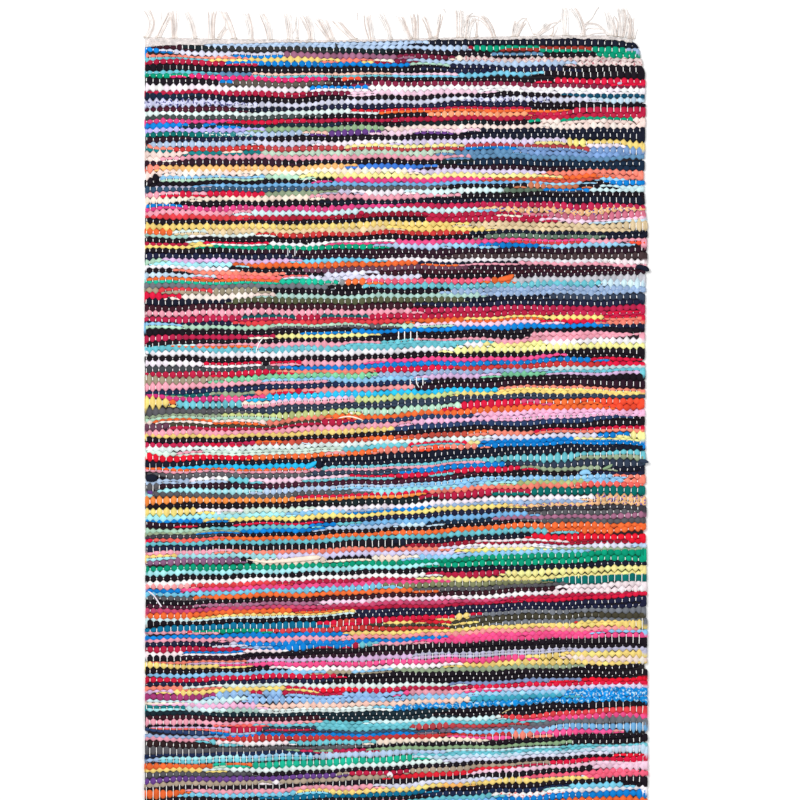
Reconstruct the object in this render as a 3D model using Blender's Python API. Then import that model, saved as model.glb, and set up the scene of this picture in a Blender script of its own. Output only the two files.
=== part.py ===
# Rag-woven cotton rug lying flat, with a yarn-woven heading and a knotted warp fringe at each end.
# X runs across the width, Y along the length, Z up. The underside lies on z = 0.

from collections import namedtuple
from math import pi, sin

import bmesh
import bpy

# Main sizes, in metres.
WIDTH = 0.800
LENGTH = 1.500
PICKS = 192
CREST = 0.0090
VALLEY = 0.0066
END_HEIGHT = 0.0046
SELVEDGE_ROUND = 0.0040
SELVEDGE_UNDERCUT = 0.0014
GAP = 0.0003

# Yarn-woven heading and the narrow strip that the fringe grows from.
HEADING_CREST = 0.0042
HEADING_VALLEY = 0.0034
HEADING_STEP = 0.026
STRIP_WIDTH = 0.0024
STRIP_HEIGHT = 0.0032
STRIP_STEP = 0.018

# Fringe locks, each a few warp ends lying together.
LOCK_WIDTH = 0.0034
LOCK_TIP_WIDTH = 0.0020
LOCK_TIP_HEIGHT = 0.0018
LOCK_PITCH = 0.0040
LOCK_STEPS = 3

MM = 0.001
HALF_WIDTH = WIDTH / 2
HALF_LENGTH = LENGTH / 2

# How the two ends wander, in millimetres beyond the nominal end (outer) and
# the rag field's last pick measured from the same line (inner), over the width.
End = namedtuple("End", "across outer inner")
FAR_END = (
    End(-400, 1.6, -13.0),
    End(-296, -0.6, -9.5),
    End(-200, -2.0, -9.2),
    End(-96, -3.1, -8.3),
    End(0, -1.4, -6.7),
    End(96, 0.9, -4.4),
    End(200, 3.0, -3.2),
    End(296, 5.0, -2.2),
    End(357, 4.2, -3.4),
    End(386, -1.5, -7.5),
)
NEAR_END = (
    End(-396, -1.5, -9.0),
    End(-296, 1.0, -7.0),
    End(-200, 0.5, -7.5),
    End(-96, -1.0, -8.5),
    End(0, -0.5, -8.0),
    End(96, 1.0, -6.5),
    End(200, 0.5, -7.0),
    End(296, -1.0, -8.5),
    End(357, -1.0, -9.0),
    End(390, -3.0, -10.5),
)

# How far a pick climbs towards the far end between the left and the right selvedge.
Climb = namedtuple("Climb", "along rise")
CLIMBS = (
    Climb(0.00, 0.0),
    Climb(0.05, -19.0),
    Climb(0.13, -12.0),
    Climb(0.20, -8.0),
    Climb(0.29, 1.0),
    Climb(0.37, 11.0),
    Climb(0.43, 22.0),
    Climb(0.52, 19.0),
    Climb(0.63, 26.0),
    Climb(0.73, 18.0),
    Climb(0.82, 17.0),
    Climb(0.92, 9.0),
    Climb(1.00, 0.0),
)

# The share of that climb reached at each place across the width.
Share = namedtuple("Share", "across share")
SHARES = (
    Share(0.00, 0.00),
    Share(0.22, 0.07),
    Share(0.42, 0.28),
    Share(0.60, 0.56),
    Share(0.78, 0.83),
    Share(1.00, 1.00),
)

# How the two selvedges wander, in millimetres outside the nominal edge, along the length.
Side = namedtuple("Side", "along left right")
SIDES = (
    Side(0.000, 0.0, -14.0),
    Side(0.006, 0.0, -9.0),
    Side(0.016, 0.0, -2.0),
    Side(0.030, 0.3, 1.5),
    Side(0.170, -0.4, -1.5),
    Side(0.200, 0.0, 4.5),
    Side(0.280, 0.8, 0.0),
    Side(0.430, 0.0, 0.0),
    Side(0.600, -0.8, 3.0),
    Side(0.770, 0.4, 4.8),
    Side(0.950, 0.0, 2.0),
    Side(0.988, -1.0, -3.0),
    Side(1.000, -4.0, -10.0),
)

# Fringe bunches of the far end: where each is rooted, where its tips lie and how far
# out they reach, in millimetres, with the number of locks and the tips' spread.
Bunch = namedtuple("Bunch", "root tip reach locks spread")
FAR_BUNCHES = (
    Bunch(-395.5, -393.5, 46, 2, 7),
    Bunch(-374.0, -364.0, 43, 3, 13),
    Bunch(-352.0, -350.0, 43, 2, 6),
    Bunch(-324.0, -332.0, 45, 2, 5),
    Bunch(-293.0, -293.5, 43, 2, 7),
    Bunch(-283.0, -276.5, 20, 1, 0),
    Bunch(-258.0, -276.0, 46, 2, 5),
    Bunch(-228.0, -237.0, 45, 2, 6),
    Bunch(-201.0, -210.0, 43, 2, 6),
    Bunch(-165.0, -169.0, 45, 2, 6),
    Bunch(-153.5, -158.0, 37, 1, 0),
    Bunch(-134.5, -141.0, 40, 3, 13),
    Bunch(-98.0, -122.0, 34, 2, 12),
    Bunch(-65.0, -92.0, 29, 2, 10),
    Bunch(-35.0, -45.0, 42, 2, 7),
    Bunch(-8.0, -22.0, 42, 2, 6),
    Bunch(22.5, 7.0, 37, 2, 7),
    Bunch(32.5, 35.0, 41, 2, 11),
    Bunch(57.0, 48.0, 38, 1, 0),
    Bunch(67.0, 67.0, 42, 2, 11),
    Bunch(104.5, 103.0, 46, 2, 6),
    Bunch(118.0, 120.0, 42, 2, 6),
    Bunch(129.5, 131.0, 30, 1, 0),
    Bunch(158.0, 140.0, 38, 2, 5),
    Bunch(194.0, 200.0, 30, 3, 14),
    Bunch(224.0, 245.0, 30, 2, 9),
    Bunch(251.0, 257.0, 22, 1, 0),
    Bunch(273.5, 269.5, 46, 2, 5),
    Bunch(300.0, 287.0, 44, 2, 8),
    Bunch(309.5, 320.0, 36, 2, 8),
    Bunch(341.0, 336.0, 42, 2, 5),
    Bunch(354.0, 348.5, 38, 1, 0),
    Bunch(364.5, 364.0, 49, 2, 7),
    Bunch(375.5, 376.0, 36, 1, 0),
    Bunch(381.5, 386.0, 20, 1, 0),
)

# The near end's bunches follow one plain rule instead.
NEAR_BUNCH_COUNT = 27
NEAR_BUNCH_PITCH = 28.9
NEAR_BUNCH_REACH = 44.0


def read(table, key, column, at):
    """Value of one column of a table at a place, straight between its rows."""
    rows = list(table)
    if at <= getattr(rows[0], key):
        return getattr(rows[0], column)
    for before, after in zip(rows, rows[1:]):
        start = getattr(before, key)
        stop = getattr(after, key)
        if at <= stop:
            part = (at - start) / (stop - start)
            low = getattr(before, column)
            high = getattr(after, column)
            return low + (high - low) * part
    return getattr(rows[-1], column)


def selvedge(along, side):
    """X of one selvedge, with its slow wander."""
    column = "left" if side < 0 else "right"
    return side * (HALF_WIDTH + read(SIDES, "along", column, along) * MM)


def end_y(table, column, x, side):
    """Y of an end's outer or inner line at one x."""
    return side * (HALF_LENGTH + read(table, "across", column, x / MM) * MM)


def pick_y(along, across, x):
    """Y of a pick line: straight between the two ends, plus the pick's own climb."""
    far = end_y(FAR_END, "inner", x, 1)
    near = end_y(NEAR_END, "inner", x, -1)
    climb = read(CLIMBS, "along", "rise", along) * read(SHARES, "across", "share", across)
    return far + (near - far) * along + climb * MM


def scallop(line):
    """Each two picks share a turn of the rag, so the selvedge dips between pairs."""
    return (-0.0013, 0.0, 0.0004, 0.0)[line % 4]


def rag_height(line, across):
    """Top of the rag field: a crest on each pick, as uneven as rags of mixed thickness."""
    wander = 0.0005 * sin(line * 0.83 + 5.0 * across) + 0.0003 * sin(line * 0.37 + 2.0)
    if line % 2:
        return CREST + wander
    return VALLEY + 0.5 * wander


def new_mesh_object(name, fill, color, roughness):
    """One closed mesh object with its own material."""
    mesh = bpy.data.meshes.new(name)
    shape = bmesh.new()
    fill(shape)
    bmesh.ops.recalc_face_normals(shape, faces=shape.faces)
    shape.to_mesh(mesh)
    shape.free()
    material = bpy.data.materials.new(name)
    material.use_nodes = True
    surface = material.node_tree.nodes["Principled BSDF"]
    surface.inputs["Base Color"].default_value = (*color, 1.0)
    surface.inputs["Roughness"].default_value = roughness
    surface.inputs["Metallic"].default_value = 0.0
    mesh.materials.append(material)
    made = bpy.data.objects.new(name, mesh)
    bpy.context.scene.collection.objects.link(made)
    return made


def add_row(shape, points):
    """A row of vertices."""
    return [shape.verts.new(point) for point in points]


def bridge(shape, first, second):
    """Faces between two rows with as many points."""
    for index in range(len(first) - 1):
        shape.faces.new((first[index], first[index + 1], second[index + 1], second[index]))


def zip_rows(shape, first, second):
    """Triangles between two rows with unlike counts, stepping along whichever lags in x."""
    left, right = 0, 0
    while left < len(first) - 1 or right < len(second) - 1:
        take_first = right == len(second) - 1
        if not take_first and left < len(first) - 1:
            take_first = first[left + 1].co.x <= second[right + 1].co.x
        if take_first:
            shape.faces.new((first[left], first[left + 1], second[right]))
            left += 1
        else:
            shape.faces.new((first[left], second[right + 1], second[right]))
            right += 1


def field_line(shape, line):
    """Vertices of the rag field along one rib line: top points and both undersides."""
    along = line / (2.0 * PICKS)
    left = selvedge(along, -1) - scallop(line)
    right = selvedge(along, 1) + scallop(line + 2)
    inner_left = left + SELVEDGE_ROUND
    inner_right = right - SELVEDGE_ROUND
    top = []
    for share in SHARES:
        x = inner_left + (inner_right - inner_left) * share.across
        y = pick_y(along, share.across, x)
        top.append((x, y, rag_height(line, share.across)))
    left_y = pick_y(along, 0.0, left)
    right_y = pick_y(along, 1.0, right)
    points = [(left + SELVEDGE_UNDERCUT, left_y, 0.0), (left, left_y, 0.45 * CREST)]
    points += top
    points += [(right, right_y, 0.45 * CREST), (right - SELVEDGE_UNDERCUT, right_y, 0.0)]
    return add_row(shape, points)


def field_end(shape, table, side):
    """Both rows of the rag field's end wall, from the selvedge to the selvedge."""
    xs = [row.across * MM for row in table]
    low = [(x, end_y(table, "inner", x, side), 0.0) for x in xs]
    high = [(x, end_y(table, "inner", x, side), END_HEIGHT) for x in xs]
    return add_row(shape, low), add_row(shape, high)


def fill_field(shape):
    """The rag-woven field: a flat underside, a ribbed top and rounded selvedges."""
    far_low, far_high = field_end(shape, FAR_END, 1)
    near_low, near_high = field_end(shape, NEAR_END, -1)
    lines = [field_line(shape, line) for line in range(1, 2 * PICKS)]
    for first, second in zip(lines, lines[1:]):
        bridge(shape, first, second)
        shape.faces.new((first[0], second[0], second[-1], first[-1]))
    for low, high, line in ((far_low, far_high, lines[0]), (near_low, near_high, lines[-1])):
        bridge(shape, low, high)
        zip_rows(shape, high, line[1:-1])
        shape.faces.new((low[0], high[0], line[1], line[0]))
        shape.faces.new((low[-1], high[-1], line[-2], line[-1]))
        zip_rows(shape, low, [line[0], line[-1]])


def stations(table, step):
    """X of every knot of an end's table, with more between them no further apart than a step."""
    xs = [row.across * MM for row in table]
    found = [xs[0]]
    for start, stop in zip(xs, xs[1:]):
        parts = max(1, round((stop - start) / step))
        found += [start + (stop - start) * part / parts for part in range(1, parts + 1)]
    return found


def fill_heading(table, side):
    """The yarn-woven band between the rags and the fringe, with two fine ribs."""
    profile = ((0.0, 0.0), (0.0, HEADING_VALLEY), (0.25, HEADING_CREST), (0.5, HEADING_VALLEY),
               (0.75, HEADING_CREST), (1.0, HEADING_VALLEY), (1.0, 0.0))

    def fill(shape):
        rows = []
        for x in stations(table, HEADING_STEP):
            inner = end_y(table, "inner", x, side) + side * GAP
            outer = end_y(table, "outer", x, side) - side * (STRIP_WIDTH + GAP)
            points = [(x, inner + (outer - inner) * part, height) for part, height in profile]
            rows.append(add_row(shape, points))
        for first, second in zip(rows, rows[1:]):
            bridge(shape, first, second)
            shape.faces.new((first[0], second[0], second[-1], first[-1]))
        shape.faces.new(rows[0])
        shape.faces.new(rows[-1])

    return fill


def lock_paths(bunches):
    """Root x, tip x, reach and sideways bow of every lock, from left to right."""
    paths = []
    for bunch in bunches:
        for index in range(bunch.locks):
            place = index - (bunch.locks - 1) / 2
            fan = place * bunch.spread / max(1, bunch.locks - 1)
            reach = bunch.reach - 2.5 * abs(sin(3.1 * bunch.root + 1.9 * index))
            root = bunch.root * MM + place * LOCK_PITCH
            bow = 1.5 * sin(0.9 * bunch.root)
            paths.append((root, (bunch.tip + fan) * MM, reach * MM, bow * MM))
    return paths


def near_bunches():
    """Bunches of the near end, evenly spaced and leaning a little by turns."""
    found = []
    for index in range(NEAR_BUNCH_COUNT):
        root = (index - (NEAR_BUNCH_COUNT - 1) / 2) * NEAR_BUNCH_PITCH - 2.0
        tip = root + 6.0 * sin(1.7 * index) + 2.5 * sin(0.9 * index + 1.0)
        reach = NEAR_BUNCH_REACH + 4.0 * sin(2.3 * index)
        locks = 3 if index % 4 == 1 else 2
        found.append(Bunch(root, tip, reach, locks, 5.0 * (locks - 1) + 2.0))
    return found


def lock_ring(shape, x, y, half, height):
    """One cross-section of a lock: flat below, narrower above."""
    points = [(x - half, y, 0.0), (x - 0.72 * half, y, height),
              (x + 0.72 * half, y, height), (x + half, y, 0.0)]
    return add_row(shape, points)


def add_lock(shape, base, path, y_root, side):
    """A lock from its root on the strip out to its tip, level on the floor all the way."""
    root, tip, reach, bow = path
    rings = [base]
    for step in range(1, LOCK_STEPS + 1):
        part = step / LOCK_STEPS
        x = root + (tip - root) * part ** 1.15 + bow * sin(pi * part)
        half = (LOCK_WIDTH + (LOCK_TIP_WIDTH - LOCK_WIDTH) * part) / 2
        height = STRIP_HEIGHT + (LOCK_TIP_HEIGHT - STRIP_HEIGHT) * part
        rings.append(lock_ring(shape, x, y_root + side * reach * part, half, height))
    for first, second in zip(rings, rings[1:]):
        for index in range(4):
            other = (index + 1) % 4
            shape.faces.new((first[index], first[other], second[other], second[index]))
    shape.faces.new(rings[-1])


def fill_fringe(table, bunches, side):
    """A narrow strip beyond the heading with every lock of the fringe fused into it."""

    def fill(shape):
        paths = lock_paths(bunches)
        half = LOCK_WIDTH / 2
        cuts = [(path[0] - half, path[0] + half) for path in paths]
        xs = [table[0].across * MM]
        for start, stop in cuts + [(table[-1].across * MM, None)]:
            parts = max(1, round((start - xs[-1]) / STRIP_STEP))
            before = xs[-1]
            xs += [before + (start - before) * part / parts for part in range(1, parts + 1)]
            if stop is not None:
                xs.append(stop)
        rows = []
        for x in xs:
            outer = end_y(table, "outer", x, side)
            inner = outer - side * STRIP_WIDTH
            points = [(x, inner, 0.0), (x, inner, STRIP_HEIGHT),
                      (x, outer, STRIP_HEIGHT), (x, outer, 0.0)]
            rows.append(add_row(shape, points))
        roots = {round(cut[0], 6): path for cut, path in zip(cuts, paths)}
        for x, first, second in zip(xs, rows, rows[1:]):
            shape.faces.new((first[0], first[1], second[1], second[0]))
            shape.faces.new((first[1], first[2], second[2], second[1]))
            shape.faces.new((first[3], first[0], second[0], second[3]))
            path = roots.get(round(x, 6))
            if path is None:
                shape.faces.new((first[2], first[3], second[3], second[2]))
            else:
                base = [first[3], first[2], second[2], second[3]]
                add_lock(shape, base, path, first[2].co.y, side)
        shape.faces.new(rows[0])
        shape.faces.new(rows[-1])

    return fill


def centre_on_box(made):
    """Moves every mesh so the whole rug's box is centred over the origin."""
    xs = [vertex.co.x for item in made for vertex in item.data.vertices]
    ys = [vertex.co.y for item in made for vertex in item.data.vertices]
    middle_x = (min(xs) + max(xs)) / 2
    middle_y = (min(ys) + max(ys)) / 2
    for item in made:
        for vertex in item.data.vertices:
            vertex.co.x -= middle_x
            vertex.co.y -= middle_y


def main():
    for item in list(bpy.data.objects):
        bpy.data.objects.remove(item)
    cream = (0.80, 0.74, 0.68)
    made = [
        new_mesh_object("rag_field", fill_field, (0.33, 0.24, 0.30), 0.9),
        new_mesh_object("heading_far", fill_heading(FAR_END, 1), cream, 0.9),
        new_mesh_object("heading_near", fill_heading(NEAR_END, -1), cream, 0.9),
        new_mesh_object("fringe_far", fill_fringe(FAR_END, FAR_BUNCHES, 1), cream, 0.9),
        new_mesh_object("fringe_near", fill_fringe(NEAR_END, near_bunches(), -1), cream, 0.9),
    ]
    centre_on_box(made)


main()
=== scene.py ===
import math

import bmesh
import bpy
import numpy as np
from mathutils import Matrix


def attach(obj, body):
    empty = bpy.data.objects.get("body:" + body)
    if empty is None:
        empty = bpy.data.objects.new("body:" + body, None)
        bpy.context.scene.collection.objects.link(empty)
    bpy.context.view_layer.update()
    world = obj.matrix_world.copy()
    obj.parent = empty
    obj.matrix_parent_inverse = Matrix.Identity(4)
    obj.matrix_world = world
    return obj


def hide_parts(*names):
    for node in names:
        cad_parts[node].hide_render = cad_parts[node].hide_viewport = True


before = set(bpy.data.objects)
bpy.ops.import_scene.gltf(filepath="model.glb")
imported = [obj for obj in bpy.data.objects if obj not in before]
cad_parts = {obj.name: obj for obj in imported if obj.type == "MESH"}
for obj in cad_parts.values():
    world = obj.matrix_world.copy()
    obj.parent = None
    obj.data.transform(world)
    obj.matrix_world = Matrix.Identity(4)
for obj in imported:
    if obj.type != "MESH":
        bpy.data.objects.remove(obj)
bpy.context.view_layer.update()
print("rug: frame loaded")

# The rug lies with its width along X and its length along Y, far end at +Y. Metres throughout.
rug = {
    "width": 0.800,
    "length": 1.500,
    "boxMiddle": (0.002011, 0.001049),   # where the part's own box had its middle before it was centred
    "warps": 151,                        # white warps from selvedge to selvedge
    "midPlane": 0.0046,                  # height of the cloth's middle layer
    "crest": 0.0043,                     # how far a bead of rag stands above and below the middle layer
    "step": 0.0016,                      # unit of the pick places below
    "farLine": 38.0,                     # those places count from here, the nominal far end
}
dice = np.random.default_rng(1907)
lapDice = np.random.default_rng(53)           # its own lots, so that a change in the chart moves no pick

# How the two ends wander, in millimetres beyond the nominal end, over the width in millimetres.
farEnd = {
    "across": (-400, -296, -200, -96, 0, 96, 200, 296, 357, 386),
    "outer": (1.6, -0.6, -2.0, -3.1, -1.4, 0.9, 3.0, 5.0, 4.2, -1.5),
    "inner": (-14.0, -10.0, -7.8, -7.2, -5.0, -3.6, -2.6, -1.8, -3.4, -7.5),
}
nearEnd = {
    "across": (-396, -296, -200, -96, 0, 96, 200, 296, 357, 390),
    "outer": (-1.5, 1.0, 0.5, -1.0, -0.5, 1.0, 0.5, -1.0, -1.0, -3.0),
    "inner": (-9.0, -7.0, -7.5, -8.5, -8.0, -6.5, -7.0, -8.5, -9.0, -10.5),
}
# How the selvedges wander outside the nominal edge, in millimetres, along the length from 0 to 1.
selvedges = {
    "along": (0, .006, .010, .014, .019, .024, .030, .037, .17, .2, .28, .43, .6, .77, .95, .988, 1),
    "left": (0, 0, 0, 0, 0, 0, 0, .3, -.4, 0, .8, 0, -.8, .4, 0, -1, -4),
    "right": (-19, -15.2, -10.4, -8, -7.4, -4.8, -3.2, .6, -1.5, 4.5, 0, 0, 3, 4.8, 2, -3, -10),
}


def endLine(end, column, x, side):
    # a line of an end: half the length plus the table's value at x, on that side
    wander = np.interp(np.asarray(x) * 1000.0, end["across"], end[column]) * 0.001
    return side * (rug["length"] / 2 + wander)


def selvedgeX(along, side):
    # a selvedge: half the width plus the table's value along the length, on that side
    wander = np.interp(along, selvedges["along"], selvedges["left" if side < 0 else "right"]) * 0.001
    return side * (rug["width"] / 2 + wander)


def alongOf(y):
    # 0 at the far end to 1 at the near end
    return 0.5 - np.asarray(y) / rug["length"]


def acrossX(share, y):
    # share 0 is the left selvedge and 1 the right one, at that y
    along = alongOf(y)
    left = selvedgeX(along, -1)
    return left + (selvedgeX(along, 1) - left) * share


def smoothed(values, width):
    # running average weighted by a bell of that width in samples, along the last axis
    reach = int(3 * width) + 1
    bell = np.exp(-0.5 * (np.arange(-reach, reach + 1) / width) ** 2)
    bell /= bell.sum()
    padded = np.concatenate([np.repeat(values[..., :1], reach, -1), values,
                             np.repeat(values[..., -1:], reach, -1)], -1)
    return np.apply_along_axis(lambda line: np.convolve(line, bell, "valid"), -1, padded)


def linear(colour):
    # screen colour 0-255 to the shader's own linear scale
    part = np.asarray(colour, float) / 255.0
    return np.where(part <= 0.04045, part / 12.92, ((part + 0.055) / 1.055) ** 2.4)


dye = {"depth": 1.12, "lift": 1.05}


def dyed(colours):
    # a rag's named colour with more depth: each part raised to a power and lifted again
    deep = (np.asarray(colours, float) / 255.0) ** dye["depth"]
    return linear(np.minimum(deep * dye["lift"], 1.0) * 255.0)


# Rags: their colours as a weaver would name them, many of them given with a measured tone of that rag
# in view. About forty were worked out as the mean of another list and of one drawn from such tones.
ragColours = {
    "black": (36, 29, 38), "navyBlack": (32, 36, 53), "navy": (40, 43, 71), "navyTeal": (32, 50, 72),
    "navyBlue": (52, 73, 112), "plumBlack": (56, 33, 48), "maroonBlack": (66, 32, 44),
    "maroonPlum": (80, 38, 58), "brownBlack": (54, 38, 40), "charcoal": (70, 68, 76),
    "charcoalGreen": (60, 62, 64), "charcoalBrown": (75, 59, 62), "blackGreen": (33, 45, 50),
    "tealBlack": (34, 54, 64), "darkGrey": (74, 76, 82), "slate": (96, 95, 100),
    "slateGreen": (76, 86, 86), "slateBlue": (62, 90, 116), "slateGrey": (122, 126, 134),
    "grey": (148, 150, 152), "paleGrey": (206, 206, 214), "greyLilac": (190, 188, 210),
    "blueGrey": (134, 152, 190), "greyPlum": (122, 108, 124), "wine": (138, 32, 62),
    "maroon": (132, 42, 72), "darkMaroon": (80, 34, 52), "darkRed": (158, 34, 58),
    "crimson": (185, 40, 76), "raspberry": (192, 46, 88), "red": (214, 44, 62), "coralRed": (217, 72, 80),
    "brick": (186, 76, 82), "rust": (198, 89, 74), "orangeRed": (238, 88, 60), "orange": (234, 115, 62),
    "yellowOrange": (245, 184, 108), "yellow": (247, 218, 136), "paleYellow": (246, 232, 160),
    "coral": (243, 143, 125), "salmon": (240, 161, 163), "coralPink": (240, 108, 136),
    "peachOrange": (244, 164, 124), "peach": (244, 200, 186), "palePeach": (245, 222, 215),
    "cream": (244, 226, 210), "creamPink": (240, 216, 206), "tan": (178, 162, 144),
    "sageTan": (170, 160, 138), "khaki": (212, 196, 150), "olive": (134, 138, 104),
    "oliveBrown": (80, 76, 62), "sage": (156, 172, 144), "sageGreen": (148, 176, 140),
    "sageLime": (186, 200, 142), "sageAqua": (172, 204, 196), "mintSage": (184, 206, 188),
    "mint": (180, 216, 194), "mintGreen": (134, 208, 166), "mintWhite": (222, 236, 234),
    "aquaMint": (180, 218, 208), "aqua": (170, 227, 234), "aquaWhite": (206, 232, 236),
    "skyAqua": (158, 207, 235), "turquoise": (116, 196, 208), "teal": (34, 132, 136),
    "darkTeal": (20, 84, 110), "tealGreen": (13, 118, 113), "deepTeal": (26, 100, 106),
    "green": (12, 162, 128), "yellowGreen": (202, 212, 146), "sky": (148, 200, 234),
    "skyBlue": (128, 185, 228), "brightBlue": (21, 136, 212), "steelBlue": (106, 148, 182),
    "periwinkle": (160, 184, 216), "paleBlue": (181, 202, 228), "skyWhite": (198, 222, 238),
    "lavender": (212, 208, 240), "lavenderWhite": (215, 216, 234), "lilac": (214, 182, 218),
    "lilacWhite": (222, 210, 236), "orchidPink": (246, 186, 216), "purple": (112, 74, 144),
    "mauve": (166, 113, 140), "mauvePurple": (146, 104, 138), "purpleMagenta": (166, 66, 122),
    "magenta": (216, 64, 136), "magentaPink": (226, 78, 142), "hotPink": (242, 92, 150),
    "rose": (210, 86, 126), "dustyPink": (214, 124, 148), "pink": (236, 167, 183),
    "palePink": (246, 208, 226), "pinkWhite": (248, 228, 232), "whitePink": (248, 234, 244),
    "white": (240, 236, 242), "cherry": (216, 35, 74), "brickRed": (202, 65, 65),
    "fuchsia": (230, 54, 124), "watermelon": (248, 112, 104), "mulberry": (112, 72, 92),
    "iris": (194, 184, 240), "cornflower": (74, 132, 218), "cyan": (131, 206, 232), "taupe": (98, 90, 84),
    "deepNavy": (37, 52, 86), "stormBlue": (60, 72, 92), "brightCyan": (50, 190, 234),
    "amber": (248, 150, 78), "scarlet": (229, 32, 59), "petrolBlue": (18, 118, 154),
    "lagoon": (74, 172, 196), "seaGreen": (36, 189, 157), "russet": (160, 60, 50), "ruby": (178, 42, 66),
    "terracotta": (205, 130, 96), "apricot": (250, 192, 128), "softBlue": (154, 192, 232),
    "dustyBlue": (128, 160, 204), "salmonRed": (250, 120, 120), "looseYarn": (252, 250, 248),
    "paleMint": (206, 226, 214), "beige": (222, 202, 166), "mossGrey": (102, 123, 107),
    "darkOlive": (88, 92, 68),
    # printed rags: a ground here, and the colour of its specks in printSpecks
    "beigePrint": (230, 214, 212), "lavenderPrint": (214, 216, 242), "peachPrint": (244, 196, 146),
    "tealPrint": (50, 132, 136), "bluePrint": (20, 146, 216), "coralPrint": (248, 240, 238),
}
printSpecks = {
    "beigePrint": (192, 132, 138), "lavenderPrint": (62, 62, 126), "peachPrint": (96, 84, 172),
    "tealPrint": (226, 240, 240), "bluePrint": (186, 222, 240), "coralPrint": (240, 108, 98),
}

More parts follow.
